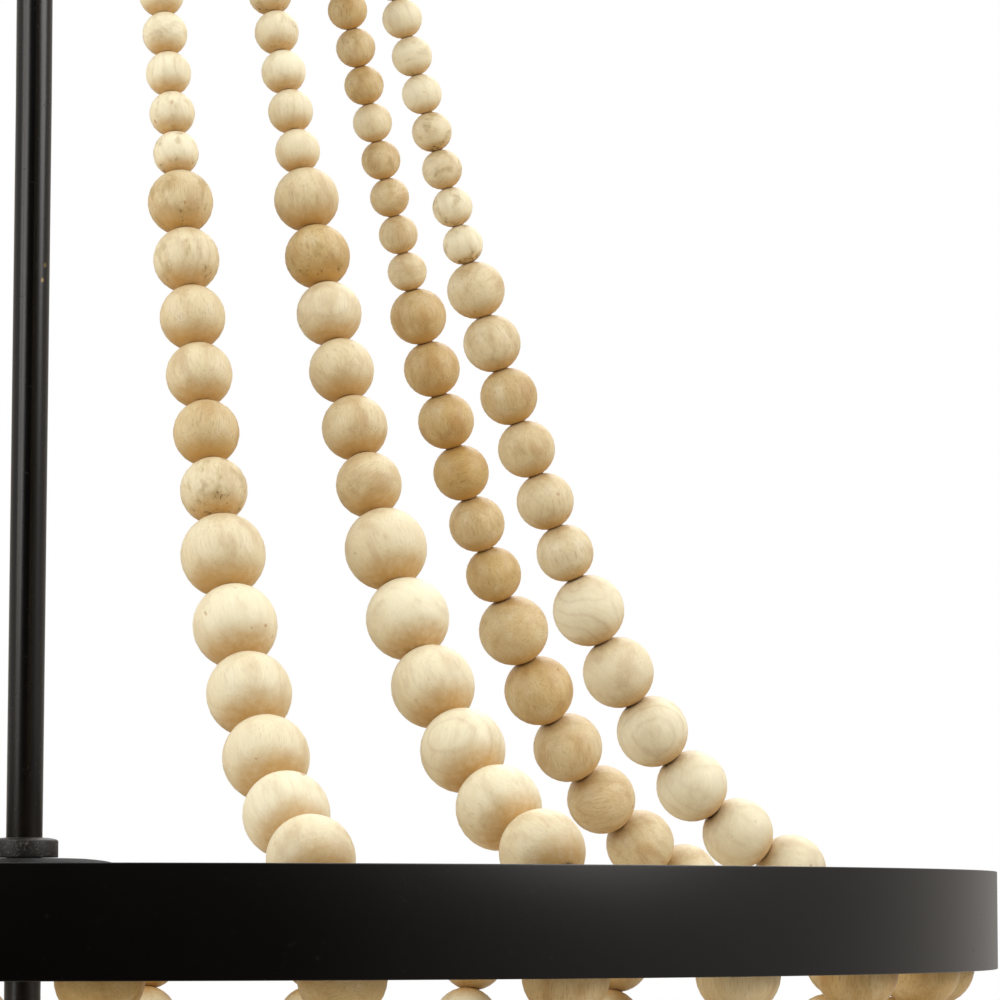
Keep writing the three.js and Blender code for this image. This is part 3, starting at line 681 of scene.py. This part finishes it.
def set_grain(piece, fibres, **values):
    """Gives a piece's points their fibre coordinates and the other values that the wood reads."""
    data = piece.data.attributes
    fibre = data.new("fibre", "FLOAT_VECTOR", "POINT")
    fibre.data.foreach_set("vector", fibres.astype(np.float32).ravel())
    for label, numbers in values.items():
        attribute = data.new(label, "FLOAT", "POINT")
        attribute.data.foreach_set("value", numbers.astype(np.float32))


def string_of_beads(name, runs, material, body, node):
    """All beads of one strand as one mesh. A run is a list of (place, direction, diameter, tone)."""
    points, quads, fibres, poles, tones, pits, figures = [], [], [], [], [], [], []
    count = 0
    for place, direction, diameter, tone in runs:
        form, faces = BEAD_FORMS[diameter]
        spin = Matrix.Rotation(dice.uniform(0, 2 * math.pi), 3, "Z")
        width = dice.uniform(*WIDTH_RANGE)
        local = form * (width, width, 1.0)
        turn = np.array(turn_to(direction) @ spin)
        points.append(local @ turn.T + np.array(place))
        quads.append(faces + count)
        count += len(form)
        lie = dice.gauss(0, ALONG_SPREAD) if dice.random() < ALONG_CHANCE else dice.uniform(*ACROSS_RANGE)
        tilt = Matrix.Rotation(math.radians(lie), 3, "X")
        trunk_place = [dice.uniform(*limits) for limits in TRUNK_RANGES]
        fibres.append((form * CENTIMETRES) @ np.array(tilt).T + np.array(trunk_place))
        poles.append(form[:, 2] / (diameter / 2 * PITCH_SHARE))
        own = tone + dice.gauss(0, TONE_SPREADS[diameter]) + TONE_SHIFTS[diameter]
        tones.append(np.full(len(form), min(max(own, 0.0), 1.0)))
        pits.append(np.full(len(form), max(dice.uniform(*SPOILT_RANGES[diameter]), 0.0)))
        figures.append(np.full(len(form), dice.uniform(*FIGURE_RANGE)))
    corners, corner_faces = np.concatenate(points), np.concatenate(quads).tolist()
    piece = new_piece(name, corners, corner_faces, material, body, (node,), smooth=50)
    set_grain(piece, np.concatenate(fibres), pole=np.concatenate(poles), tone=np.concatenate(tones),
              pits=np.concatenate(pits), figure=np.concatenate(figures))


def wire_piece(name, points, crimps, material, body):
    """The wire of a strand, with a pressed crimp at each end. A crimp is (place, direction)."""
    vertices, faces = tube_along(points, [WIRE / 2] * len(points), 10)
    barrel = [(0, 0), (CRIMP / 2, 0), (CRIMP / 2, CRIMP_HEIGHT), (0, CRIMP_HEIGHT)]
    rounded = filleted(barrel, CRIMP / 5, closed=False)
    form, form_faces = spun(rounded, 20, closed=False)
    for place, direction in crimps:
        start = len(vertices)
        matrix = Matrix.Translation(place) @ turn_to(direction).to_4x4()
        vertices += moved(form, matrix)
        faces += [tuple(i + start for i in face) for face in form_faces]
    return new_piece(name, vertices, faces, material, body, smooth=40)


paint = black_paint("black_paint", srgb(12, 10, 9), 0.42)
band_paint = black_paint("band_paint", srgb(6, 3, 3), 0.3, gloss=0.33, dusty=0.03)
rod_paint = black_paint("rod_paint", srgb(4, 3, 3), 0.25, gloss=0.55, dusty=0.03, marks=ROD_MARKS)
collar_paint = black_paint("collar_paint", srgb(15, 12, 11), 0.45, dusty=0.9, dust_scale=1500.0, grain=0.6)
disc_paint = black_paint("disc_paint", srgb(8, 7, 7), 0.6, gloss=0.12, dusty=0.08)
sleeve_paint = black_paint("sleeve_paint", srgb(24, 22, 21), 0.5)
brass = bare_metal("brass", srgb(190, 156, 98), srgb(140, 104, 58), 0.28)
dull_brass = bare_metal("dull_brass", srgb(112, 94, 58), srgb(36, 30, 22), 0.45, scale=1400.0)
steel = bare_metal("zinc_steel", srgb(176, 178, 180), srgb(120, 122, 122), 0.32)
wire_metal = bare_metal("strand_wire", srgb(120, 112, 98), srgb(78, 68, 54), 0.35)
ceramic = smooth_ceramic("ceramic", srgb(232, 227, 214))
wood = bead_wood("bead_wood")

# Camera

turn = Matrix.Rotation(math.radians(CAMERA_TURN), 3, "Z")
pitch = math.radians(CAMERA_PITCH)
camera_data = bpy.data.cameras.new("camera")
camera = bpy.data.objects.new("camera", camera_data)
bpy.context.scene.collection.objects.link(camera)
camera_data.sensor_width = SENSOR
camera_data.lens = LENS
camera_data.clip_end = 200
stand_height = RING_TOP - CAMERA_BELOW_RING_TOP
camera.location = turn @ Vector((CAMERA_RIGHT, -CAMERA_BACK, stand_height))
forward = turn @ Vector((0, math.cos(pitch), math.sin(pitch)))
camera.rotation_mode = "QUATERNION"
camera.rotation_quaternion = forward.to_track_quat("-Z", "Y")
bpy.context.scene.camera = camera

upper_azimuths = [FIRST_PAIR + 360 / PAIRS * (i // 2) + (PAIR_SPREAD / 2 if i % 2 else -PAIR_SPREAD / 2)
                  for i in range(PAIRS * 2)]
run_azimuths = [FIRST_RUN + 360 / RUNS * i for i in range(RUNS)]
chain = hang_upper_beads()
basket, loop_radius = basket_beads()
basket_radius = RING_RADIUS - BASKET_INSET
tab_radius = RING_RADIUS - TAB_INSET
tie_height = RING_TOP + FOOT_RISE - (tab_radius - RING_RADIUS + FOOT_INSET) * FOOT_PULL_SHARE


def directions(places):
    out = []
    for i in range(len(places)):
        out.append((places[min(i + 1, len(places) - 1)] - places[max(i - 1, 0)]).normalized())
    return out


for i, azimuth in enumerate(upper_azimuths):
    name = f"upper_strand_{i + 1}"
    body = f"strand_{i + 1}"
    rest = [on_circle(radius, azimuth, height) for radius, height, _ in chain]
    aims = directions(rest)
    places = [place + aim * SLIDES[i] for place, aim in zip(rest, aims)]
    run = [(p, a, d, UPPER_TONES[i]) for p, a, (_, _, d) in zip(places, aims, chain)]
    string_of_beads(f"{name}_beads", run, wood, body, name)
    outward = on_circle(1, azimuth)
    tie = on_circle(tab_radius, azimuth, tie_height)
    head = on_circle(CROWN_STRAND_RADIUS, azimuth, CROWN_BOTTOM)
    over = on_circle(CROWN_STRAND_RADIUS, azimuth, CROWN_TOP + CRIMP_HEIGHT)
    foot = tie + outward * (TAB_THICKNESS / 2 + SEAT)
    crimps = [(foot, outward), (over - UP * (CRIMP_HEIGHT - SEAT), UP)]
    line = [foot + outward * CRIMP_HEIGHT, tie, *places, head, over]
    wire_piece(f"{name}_wire", line, crimps, wire_metal, body)

for i in range(RUNS // 2):
    name = f"basket_strand_{i + 1}"
    beads, line, crimps = [], [], []
    # Partly painted shade: the basket's beads are made more tan as they hang in shade below the ring
    strand_tone_and_shade = BASKET_TONE_AND_SHADE + dice.uniform(*BASKET_TONE_RANGE)
    # The first bead of each run, just below the band, gets extra tan as painted shadow of the band
    tones = [strand_tone_and_shade + BAND_SHADOW_TONE, *[strand_tone_and_shade] * (len(basket) - 1)]
    for k in (i * 2, i * 2 + 1):
        azimuth = run_azimuths[k]
        swings = [RUN_SWINGS.get(k, 0) * (1 - j / (len(basket) - 1)) for j in range(len(basket))]
        places = [on_circle(radius, azimuth + swing, height)
                  for (radius, height, _), swing in zip(basket, swings)]
        aims = directions([on_circle(basket_radius, azimuth, LEDGE_BOTTOM), *places])[1:]
        beads += [(p, a, d, tone) for p, a, (_, _, d), tone in zip(places, aims, basket, tones)]
        top = on_circle(basket_radius, azimuth, LEDGE_TOP + SEAT)
        crimps.append((top, UP))
        way = [top + UP * CRIMP_HEIGHT, top - UP * (LEDGE_THICKNESS + SEAT), *places,
               on_circle(loop_radius, azimuth, PLATE_BOTTOM - WIRE),
               on_circle(loop_radius, azimuth, PLATE_TOP + WIRE)]
        line += way if not line else list(reversed(way))
    string_of_beads(f"{name}_beads", beads, wood, "fixture", name)
    wire_piece(f"{name}_wire", line, crimps, wire_metal, "fixture")

# Ring

ledge_outer = half_width("strand_ring")
openings = [circle(ledge_outer - LEDGE_WIDTH, LEDGE_SIDES), *wire_holes(basket_radius, run_azimuths)]
plate("ledge", circle(ledge_outer, BAND_SIDES), openings, LEDGE_BOTTOM, LEDGE_TOP, paint, "fixture",
      ("strand_ring",))
tab_height = high("strand_ring").z - LEDGE_TOP
arch_rise = TAB_HALF_WIDTH / 2
arch = [(TAB_HALF_WIDTH * math.cos(t), tab_height - arch_rise + arch_rise * math.sin(t))
        for t in arc_angles(math.pi, 12)]
outline = [(-TAB_HALF_WIDTH, -LEDGE_THICKNESS / 2), (TAB_HALF_WIDTH, -LEDGE_THICKNESS / 2), *arch]
tab_hole = circle(WIRE_HOLE_RADIUS, 16, (0.0, tie_height - LEDGE_TOP))
for i, azimuth in enumerate(upper_azimuths):
    stand = Matrix.Translation(on_circle(tab_radius + TAB_THICKNESS / 2, azimuth, LEDGE_TOP))
    face = stand @ Matrix.Rotation(math.radians(azimuth), 4, "Z") @ Matrix.Rotation(QUARTER, 4, "X")
    plate(f"ledge_tab_{i + 1}", outline, [tab_hole], -TAB_THICKNESS, 0.0, paint, "fixture",
          place=face)
pipe("band", RING_RADIUS, ledge_outer + BAND_GAP, RING_BOTTOM, RING_TOP, band_paint, "fixture",
     ("ring_band",), sides=BAND_SIDES)

# Spokes and hub

spoke_low, spoke_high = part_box("spoke_frame")
arm, width = spoke_high.x, SPOKE_HALF_WIDTH
cross = [(arm, -width), (arm, width), (width, width)]
for _ in range(3):
    cross += [(-y, x) for x, y in cross[-3:]]
plate("spokes", cross, [], spoke_low.z, spoke_low.z + SPOKE_DEPTH, paint, "fixture", ("spoke_frame",))
leaned(pipe("hub", HUB_RADIUS, ROD_HOLE, spoke_low.z, spoke_high.z, paint, "fixture"))

# The disc's crowned edge, as shares of its radius and its height
disc_shares = [(1, 0.56), (0.985, 0.64), (0.96, 0.7), (0.9, 0.79), (0.8, 0.89), (0.68, 0.97), (0.56, 1)]
disc_bottom, disc_top, disc_radius = low("hub_disc").z, high("hub_disc").z + HUB_LIFT, half_width("hub_disc")
disc_side = [(disc_radius * across, disc_bottom + (disc_top - disc_bottom) * up)
             for across, up in disc_shares]
disc = [(ROD_HOLE, disc_bottom), (disc_radius, disc_bottom), *disc_side, (ROD_HOLE, disc_top)]
leaned(turned("disc", disc, disc_paint, "fixture", ("hub_disc",), edge=EDGE / 2))

# The collar's worn upper edge, as (in from its side, down from its top), and the bush in it
collar_edge = [(0, 0.0009), (0.0008, 0.0004), (0.0032, 0)]
bush_wall, bush_depth, bush_rise = 0.0008, 0.002, 0.0001
bush_radius = ROD_RADIUS + bush_wall
collar_bottom, collar_top = low("hub_collar").z + HUB_LIFT, high("hub_collar").z
collar_radius = half_width("hub_collar")
collar_side = [(collar_radius - inset, collar_top - drop) for inset, drop in collar_edge]
collar = [(bush_radius, collar_bottom), (collar_radius, collar_bottom), *collar_side,
          (bush_radius, collar_top)]
leaned(turned("collar", collar, collar_paint, "fixture", ("hub_collar",), edge=0.0003))
leaned(pipe("collar_bush", bush_radius, ROD_RADIUS, collar_top - bush_depth, collar_top + bush_rise,
            dull_brass, "fixture", sides=ROD_SIDES))

# Rods

rod_inner = ROD_RADIUS - ROD_WALL
lean_heights = (*np.linspace(LEAN_OVER, LEAN_TO, LEAN_RINGS), LEAN_FROM)
for name in ("upper_stem", "center_rod", "lower_rod"):
    foot, head = low(name).z, high(name).z
    heights = [foot, *[float(height) for height in lean_heights if foot < height < head], head]
    wall = [(rod_inner, foot), *[(ROD_RADIUS, height) for height in heights],
            *[(rod_inner, height) for height in reversed(heights[1:])]]
    leaned(turned(f"{name}_tube", wall, rod_paint, "fixture", (name,), sides=ROD_SIDES))

# Crown

cap_radius = half_width("crown_cap")
cap_top = high("crown_cap").z
cap_wall = 0.0012
# The cap's dome, as shares of the way from the rod to its rim and from the crown plate to its top
dome_shares = [(0.25, 0.95), (0.42, 0.88), (0.58, 0.78), (0.74, 0.66), (0.88, 0.52), (0.96, 0.41), (1, 0.3)]


def cap_side(radius, top):
    span = radius - ROD_HOLE
    return [(ROD_HOLE + span * across, CROWN_BOTTOM + (top - CROWN_BOTTOM) * up)
            for across, up in dome_shares]


dish = [(ROD_HOLE, cap_top - cap_wall), *cap_side(cap_radius - cap_wall, cap_top - cap_wall),
        (cap_radius - cap_wall, CROWN_BOTTOM), (cap_radius, CROWN_BOTTOM),
        *reversed(cap_side(cap_radius, cap_top)), (ROD_HOLE, cap_top)]
turned("crown_dish", dish, paint, "fixture", ("crown_cap",), edge=0.003)
rod_opening = circle(ROD_HOLE, NUT_SIDES)
openings = [rod_opening, *wire_holes(CROWN_STRAND_RADIUS, upper_azimuths)]
plate("crown_disc", circle(half_width("crown_plate"), ROUND_SIDES), openings, CROWN_BOTTOM, CROWN_TOP, paint,
      "fixture", ("crown_plate",))
plate("crown_hex_nut", circle(half_width("crown_nut"), 6), [rod_opening], low("crown_nut").z,
      high("crown_nut").z, brass, "fixture", ("crown_nut",), edge=EDGE * 2)

coupling_radius = half_width("stem_coupling")
bottom, top = low("stem_coupling").z, high("stem_coupling").z
middle, waist, waist_share = (bottom + top) / 2, 0.004, 0.86
coupling = [(ROD_HOLE, bottom), (coupling_radius, bottom), (coupling_radius, middle - waist),
            (coupling_radius * waist_share, middle), (coupling_radius, middle + waist),
            (coupling_radius, top), (ROD_HOLE, top)]
turned("coupling", coupling, paint, "fixture", ("stem_coupling",), edge=0.001)

# Canopy, with its studs and cap nuts

canopy_low, canopy_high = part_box("canopy")
canopy_radius, canopy_depth = canopy_high.x, -canopy_low.z
rim, flat, bore, sheet = 0.007, 0.042, 0.0075, 0.0012
thread_pitch, thread_depth = 0.0007, 0.0004
skirt_height, nut_bore, nut_end = 0.005, 0.0023, 0.001


def shoulder(outer, floor):
    return [(flat + (outer - flat) * math.sin(t), -rim + (floor + rim) * math.cos(t))
            for t in arc_angles(QUARTER, 8)]


canopy = [(bore, -canopy_depth), *shoulder(canopy_radius, -canopy_depth), (canopy_radius, 0),
          (canopy_radius - sheet, 0), *reversed(shoulder(canopy_radius - sheet, sheet - canopy_depth)),
          (bore, sheet - canopy_depth)]
turned("canopy_dish", canopy, paint, "ceiling", ("canopy",))
for side in ("left", "right"):
    stud_low, stud_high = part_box(f"canopy_stud_{side}")
    shift = Matrix.Translation(((stud_low.x + stud_high.x) / 2, 0, 0))
    stud_radius, stud_length = (stud_high.x - stud_low.x) / 2, stud_high.z - stud_low.z
    ridges = int(stud_length / thread_pitch) * 2
    thread = [(stud_radius if k % 2 else stud_radius - thread_depth, stud_low.z + stud_length * k / ridges)
              for k in range(ridges + 1)]
    turned(f"stud_{side}", [(0, stud_low.z), *thread, (0, stud_high.z)], steel, "ceiling",
           (f"canopy_stud_{side}",), closed=False, sides=24, edge=0, place=shift)
    nut_low, nut_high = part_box(f"canopy_nut_{side}")
    nut_radius = (nut_high.x - nut_low.x) / 2
    skirt = nut_high.z - skirt_height
    ball = [(nut_radius * math.sin(t), skirt - (skirt - nut_low.z) * math.cos(t))
            for t in arc_angles(QUARTER, 8)[1:]]
    nut = [(0, nut_low.z), *ball, (nut_radius, nut_high.z), (nut_bore, nut_high.z),
           (nut_bore, skirt - nut_end), (0, skirt - nut_end)]
    turned(f"nut_{side}", nut, brass, "ceiling", (f"canopy_nut_{side}",), closed=False,
           sides=NUT_SIDES, place=shift)

for name, material in (("ceiling_bracket", steel), ("swivel_lock_nut", brass)):
    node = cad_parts[name]
    node.data.materials.clear()
    node.data.materials.append(material)
    bevelled(node, EDGE, 40)

# Swivel

pin_low, pin_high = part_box("swivel_pin")
fork_low, fork_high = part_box("swivel_fork")
tongue_low, tongue_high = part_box("swivel_tongue")
pivot = (pin_low.z + pin_high.z) / 2
pivot_place = Matrix.Translation((0, 0, pivot))
facing_x = pivot_place @ Matrix.Rotation(QUARTER, 4, "Z") @ Matrix.Rotation(QUARTER, 4, "X")
along_x = pivot_place @ Matrix.Rotation(QUARTER, 4, "Y")
# From the pivot to the fork's neck and to the tongue's collar
clear_of_pivot = 0.011

fork_bore, neck_radius, shank_radius, flange_radius, flange = 0.0042, 0.012, 0.007, 0.015, 0.003
fork_top = -canopy_depth - SEAT
neck = [(fork_bore, pivot + clear_of_pivot), (neck_radius, pivot + clear_of_pivot),
        (neck_radius, fork_top - flange), (flange_radius, fork_top - flange), (flange_radius, fork_top),
        (shank_radius, fork_top), (shank_radius, fork_high.z), (fork_bore, fork_high.z)]
turned("fork_neck", neck, paint, "swivel", ("swivel_fork",))


def lug_outline(radius, reach, sides=32):
    arc = [(radius * math.cos(t), -math.copysign(1, reach) * radius * math.sin(t))
           for t in arc_angles(math.pi, sides)]
    return [(radius, reach), *arc, (-radius, reach)]


pin_hole_radius, lug_thickness, lug_reach, blade, blade_reach = 0.0033, 0.005, 0.0125, 0.0042, -0.0135
lug_starts = {"left": -0.0095, "right": 0.0045}
pin_hole = circle(pin_hole_radius, 32)
for side, start in lug_starts.items():
    plate(f"fork_lug_{side}", lug_outline(pivot - fork_low.z, lug_reach), [pin_hole], start,
          start + lug_thickness, paint, "swivel", place=facing_x)
plate("tongue_blade", lug_outline(tongue_high.z - pivot, blade_reach), [pin_hole], -blade, blade, paint,
      "fixture", ("swivel_tongue",), place=facing_x)
stem_bore, stem_depth, tongue_radius = 0.0062, 0.008, 0.011
tongue_collar = [(stem_bore, tongue_low.z), (tongue_radius, tongue_low.z),
                 (tongue_radius, pivot - clear_of_pivot), (0, pivot - clear_of_pivot),
                 (0, tongue_low.z + stem_depth), (stem_bore, tongue_low.z + stem_depth)]
turned("tongue_collar", tongue_collar, paint, "fixture", edge=EDGE * 2)
end, screw_head, head_radius, screw_radius = pin_high.x, 0.0032, 0.0056, 0.003
screw = [(0, -end), (head_radius, -end), (head_radius, screw_head - end), (screw_radius, screw_head - end),
         (screw_radius, end - screw_head), (head_radius, end - screw_head), (head_radius, end), (0, end)]
turned("pivot_screw", screw, brass, "swivel", ("swivel_pin",), closed=False, sides=NUT_SIDES,
       place=along_x)

# Lamps

body_low, body_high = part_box("lamp_body")
body_radius, body_height = body_high.x, body_high.z - body_low.z
body_middle = (body_low.z + body_high.z) / 2
body_shares = [(0.5, 0), (0.6, 0.16), (0.95, 0.34), (1, 0.5), (0.95, 0.66), (0.6, 0.8), (0.72, 0.92),
               (0.5, 1)]
body_points = [Vector((across * body_radius, body_low.z + up * body_height)) for across, up in body_shares]
lamp_body = [(ROD_HOLE, body_low.z), *smooth_path(body_points, 5), (ROD_HOLE, body_high.z)]
turned("lamp_body_turned", lamp_body, paint, "fixture", ("lamp_body",))

lamp_circle = 0.085
# The cup's outline, as (radius, height), and the recess in its top
cup_outline = ((0.006, 0), (0.0072, 0.0028), (0.016, 0.005), (0.02, 0.010))
cup_height = cup_outline[-1][1]
recess_radius, recess_depth = 0.0125, 0.0035
# The arm, from inside the lamp body out, down in a sag and up into the cup
arm_radius, arm_root, arm_straight, arm_sag, arm_dip, arm_end = 0.004, 0.006, 0.004, 0.016, 0.004, 0.0025
# The ceramic socket, narrower at its foot, and the threaded brass shell in it
foot_radius, foot_height, socket_outer, socket_inner, socket_depth = 0.007, 0.022, 0.0098, 0.0069, 0.022
shell_radius, shell_length, shell_rim = 0.0068, 0.021, 0.002
thread_radii, thread_steps = (0.0062, 0.0066), 20
sleeve_outer, sleeve_inner = 0.012, 0.011
for i in range(4):
    number = i + 1
    spin = Matrix.Rotation(math.radians(90 * i + 45), 4, "Z")
    stand = spin @ Matrix.Translation((0, lamp_circle, 0))
    cup_top = high(f"lamp_arm_{number}").z
    cup_bottom = cup_top - cup_height
    cup_side = smooth_path([Vector((radius, cup_bottom + height)) for radius, height in cup_outline], 5)
    cup = [(0, cup_bottom), *cup_side, (recess_radius, cup_top), (recess_radius, cup_top - recess_depth),
           (0, cup_top - recess_depth)]
    turned(f"lamp_cup_{number}", cup, paint, "fixture", closed=False, sides=64,
           place=stand)
    route = ((body_radius - arm_root, body_middle), (body_radius + arm_straight, body_middle),
             ((lamp_circle + body_radius) / 2, body_middle - arm_sag), (lamp_circle, cup_bottom - arm_dip),
             (lamp_circle, cup_bottom + arm_end))
    path = smooth_path([Vector((0, out, height)) for out, height in route], 10)
    vertices, faces = tube_along(path, [arm_radius] * len(path), 24)
    new_piece(f"lamp_arm_tube_{number}", moved(vertices, spin), faces, paint, "fixture",
              (f"lamp_arm_{number}",), smooth=40)
    bottom, top = low(f"lamp_socket_{number}").z, high(f"lamp_socket_{number}").z
    socket = [(0, bottom), (foot_radius, bottom), (foot_radius, bottom + foot_height),
              (socket_outer, bottom + foot_height), (socket_outer, top), (socket_inner, top),
              (socket_inner, top - socket_depth), (0, top - socket_depth)]
    turned(f"socket_body_{number}", socket, ceramic, "fixture", (f"lamp_socket_{number}",),
           closed=False, sides=NUT_SIDES, place=stand)
    thread = [(thread_radii[k % 2], top - shell_length + (shell_length - shell_rim) * k / thread_steps)
              for k in range(thread_steps + 1)]
    shell = [*thread, (shell_radius, top - shell_rim), (shell_radius, top - shell_length)]
    turned(f"socket_shell_{number}", shell, brass, "fixture", sides=40, edge=0, place=stand)
    sleeve_low, sleeve_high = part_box(f"candle_sleeve_{number}")
    pipe(f"sleeve_{number}", sleeve_outer, sleeve_inner, sleeve_low.z, sleeve_high.z, sleeve_paint,
         f"sleeve_{number}", (f"candle_sleeve_{number}",), sides=64, place=stand)

# Bottom

openings = [rod_opening, *wire_holes(loop_radius, run_azimuths)]
plate("bottom_disc", circle(half_width("bottom_plate"), ROUND_SIDES), openings, PLATE_BOTTOM, PLATE_TOP,
      paint, "fixture", ("bottom_plate",))
finial_low, finial_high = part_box("finial")
finial_radius, finial_height, finial_bore = finial_high.x, finial_high.z - finial_low.z, 0.0098
knob_shares = [(0, 0), (0.36, 0.04), (0.66, 0.16), (0.79, 0.34), (0.7, 0.5), (0.42, 0.66), (0.42, 0.76),
               (0.92, 0.9), (1, 0.94), (1, 1)]
knob = [(across * finial_radius, finial_low.z + up * finial_height) for across, up in knob_shares]
knob += [(ROD_HOLE, finial_high.z), (ROD_HOLE, finial_high.z - finial_bore), (0, finial_high.z - finial_bore)]
finial = turned("finial_turned", knob, wood, "fixture", ("finial",), closed=False, edge=0.002)
corners = np.array([vertex.co for vertex in finial.data.vertices])
finial_looks = {"pole": 0.0, "tone": 0.35, "pits": 0.3, "figure": 0.8}
set_grain(finial, corners * CENTIMETRES + (0.7, 0.2, 3.0),
          **{label: np.full(len(corners), value) for label, value in finial_looks.items()})

# Light, floor and background

def area_light(name, place, size, watts, colour=(1, 1, 1)):
    data = bpy.data.lights.new(name, "AREA")
    data.shape = "DISK"
    data.size = size
    data.energy = watts
    data.color = colour
    light = bpy.data.objects.new(name, data)
    light.location = place
    aim = Vector((0, 0, -0.45)) - Vector(place)
    light.rotation_mode = "QUATERNION"
    light.rotation_quaternion = aim.to_track_quat("-Z", "Y")
    light.visible_camera = False
    bpy.context.scene.collection.objects.link(light)


area_light("key", (-0.3, -2.0, 1.8), 2.6, 19, (0.84, 0.94, 1.0))
area_light("left", (-1.7, -1.45, 0.05), 1.9, 29, (1.0, 0.98, 0.95))
area_light("right", (2.15, -0.8, 0.62), 2.0, 35, (1.0, 0.98, 0.95))
area_light("back", (0.5, 1.9, 1.5), 2.0, 26)

world = bpy.data.worlds.new("studio")
bpy.context.scene.world = world
world.use_nodes = True
sky = Nodes(world.node_tree)
background = world.node_tree.nodes["Background"]
way = sky.add("ShaderNodeSeparateXYZ", {0: sky.add("ShaderNodeTexCoord").outputs["Generated"]}).outputs
side = sky.ramp(way["Y"], -0.99, 0.0)
above = sky.ramp(way["Z"], 0.1, 0.7)
behind = sky.ramp(way["Y"], 0.3, 0.95)
glow = sky.product(sky.ramp(way["Y"], -0.9, -0.4), sky.ramp(way["Y"], 0.05, -0.3))
level = sky.product(side, sky.line(above, 0.5, 0.48))
level = sky.line(glow, 0.1, sky.line(behind, 0.1, level))
is_camera = sky.add("ShaderNodeLightPath").outputs["Is Camera Ray"]
strength = sky.math("MAXIMUM", level, is_camera)
tint = sky.mix(is_camera, sky.mix(above, (1.0, 0.94, 0.88, 1), (1.0, 1.0, 1.0, 1)), (1, 1, 1, 1))
world.node_tree.links.new(tint, background.inputs["Color"])
world.node_tree.links.new(strength, background.inputs["Strength"])

floor_drop, floor_radius, floor_sides = 0.9, 12.0, 96
floor_height = cad_box[0].z - floor_drop
floor_material, floor_nodes, floor_shader = new_material("pale_floor")
floor_clouds = floor_nodes.noise(floor_nodes.place(), 3.0, 3.0)
floor_tint = floor_nodes.mix(floor_clouds, srgb(240, 239, 236), srgb(236, 235, 232))
ray = floor_nodes.add("ShaderNodeLightPath").outputs
floor_tint = floor_nodes.mix(ray["Is Camera Ray"], srgb(200, 188, 170), floor_tint)
set_shader(floor_nodes, floor_shader, Base_Color=floor_tint, Roughness=0.9, Specular_IOR_Level=0.0)
clear = floor_nodes.add("ShaderNodeBsdfTransparent").outputs[0]
shaders = {0: ray["Is Glossy Ray"], 1: floor_shader.outputs[0], 2: clear}
either = floor_nodes.add("ShaderNodeMixShader", shaders).outputs[0]
floor_material.node_tree.links.new(either, floor_material.node_tree.nodes["Material Output"].inputs[0])
floor_mesh = bpy.data.meshes.new("floor")
floor_outline = [(x, y, floor_height) for x, y in circle(floor_radius, floor_sides)]
floor_mesh.from_pydata(floor_outline, [], [tuple(range(floor_sides))])
floor_mesh.materials.append(floor_material)
floor = bpy.data.objects.new("floor", floor_mesh)
bpy.context.scene.collection.objects.link(floor)

bpy.context.scene.view_settings.view_transform = "Standard"
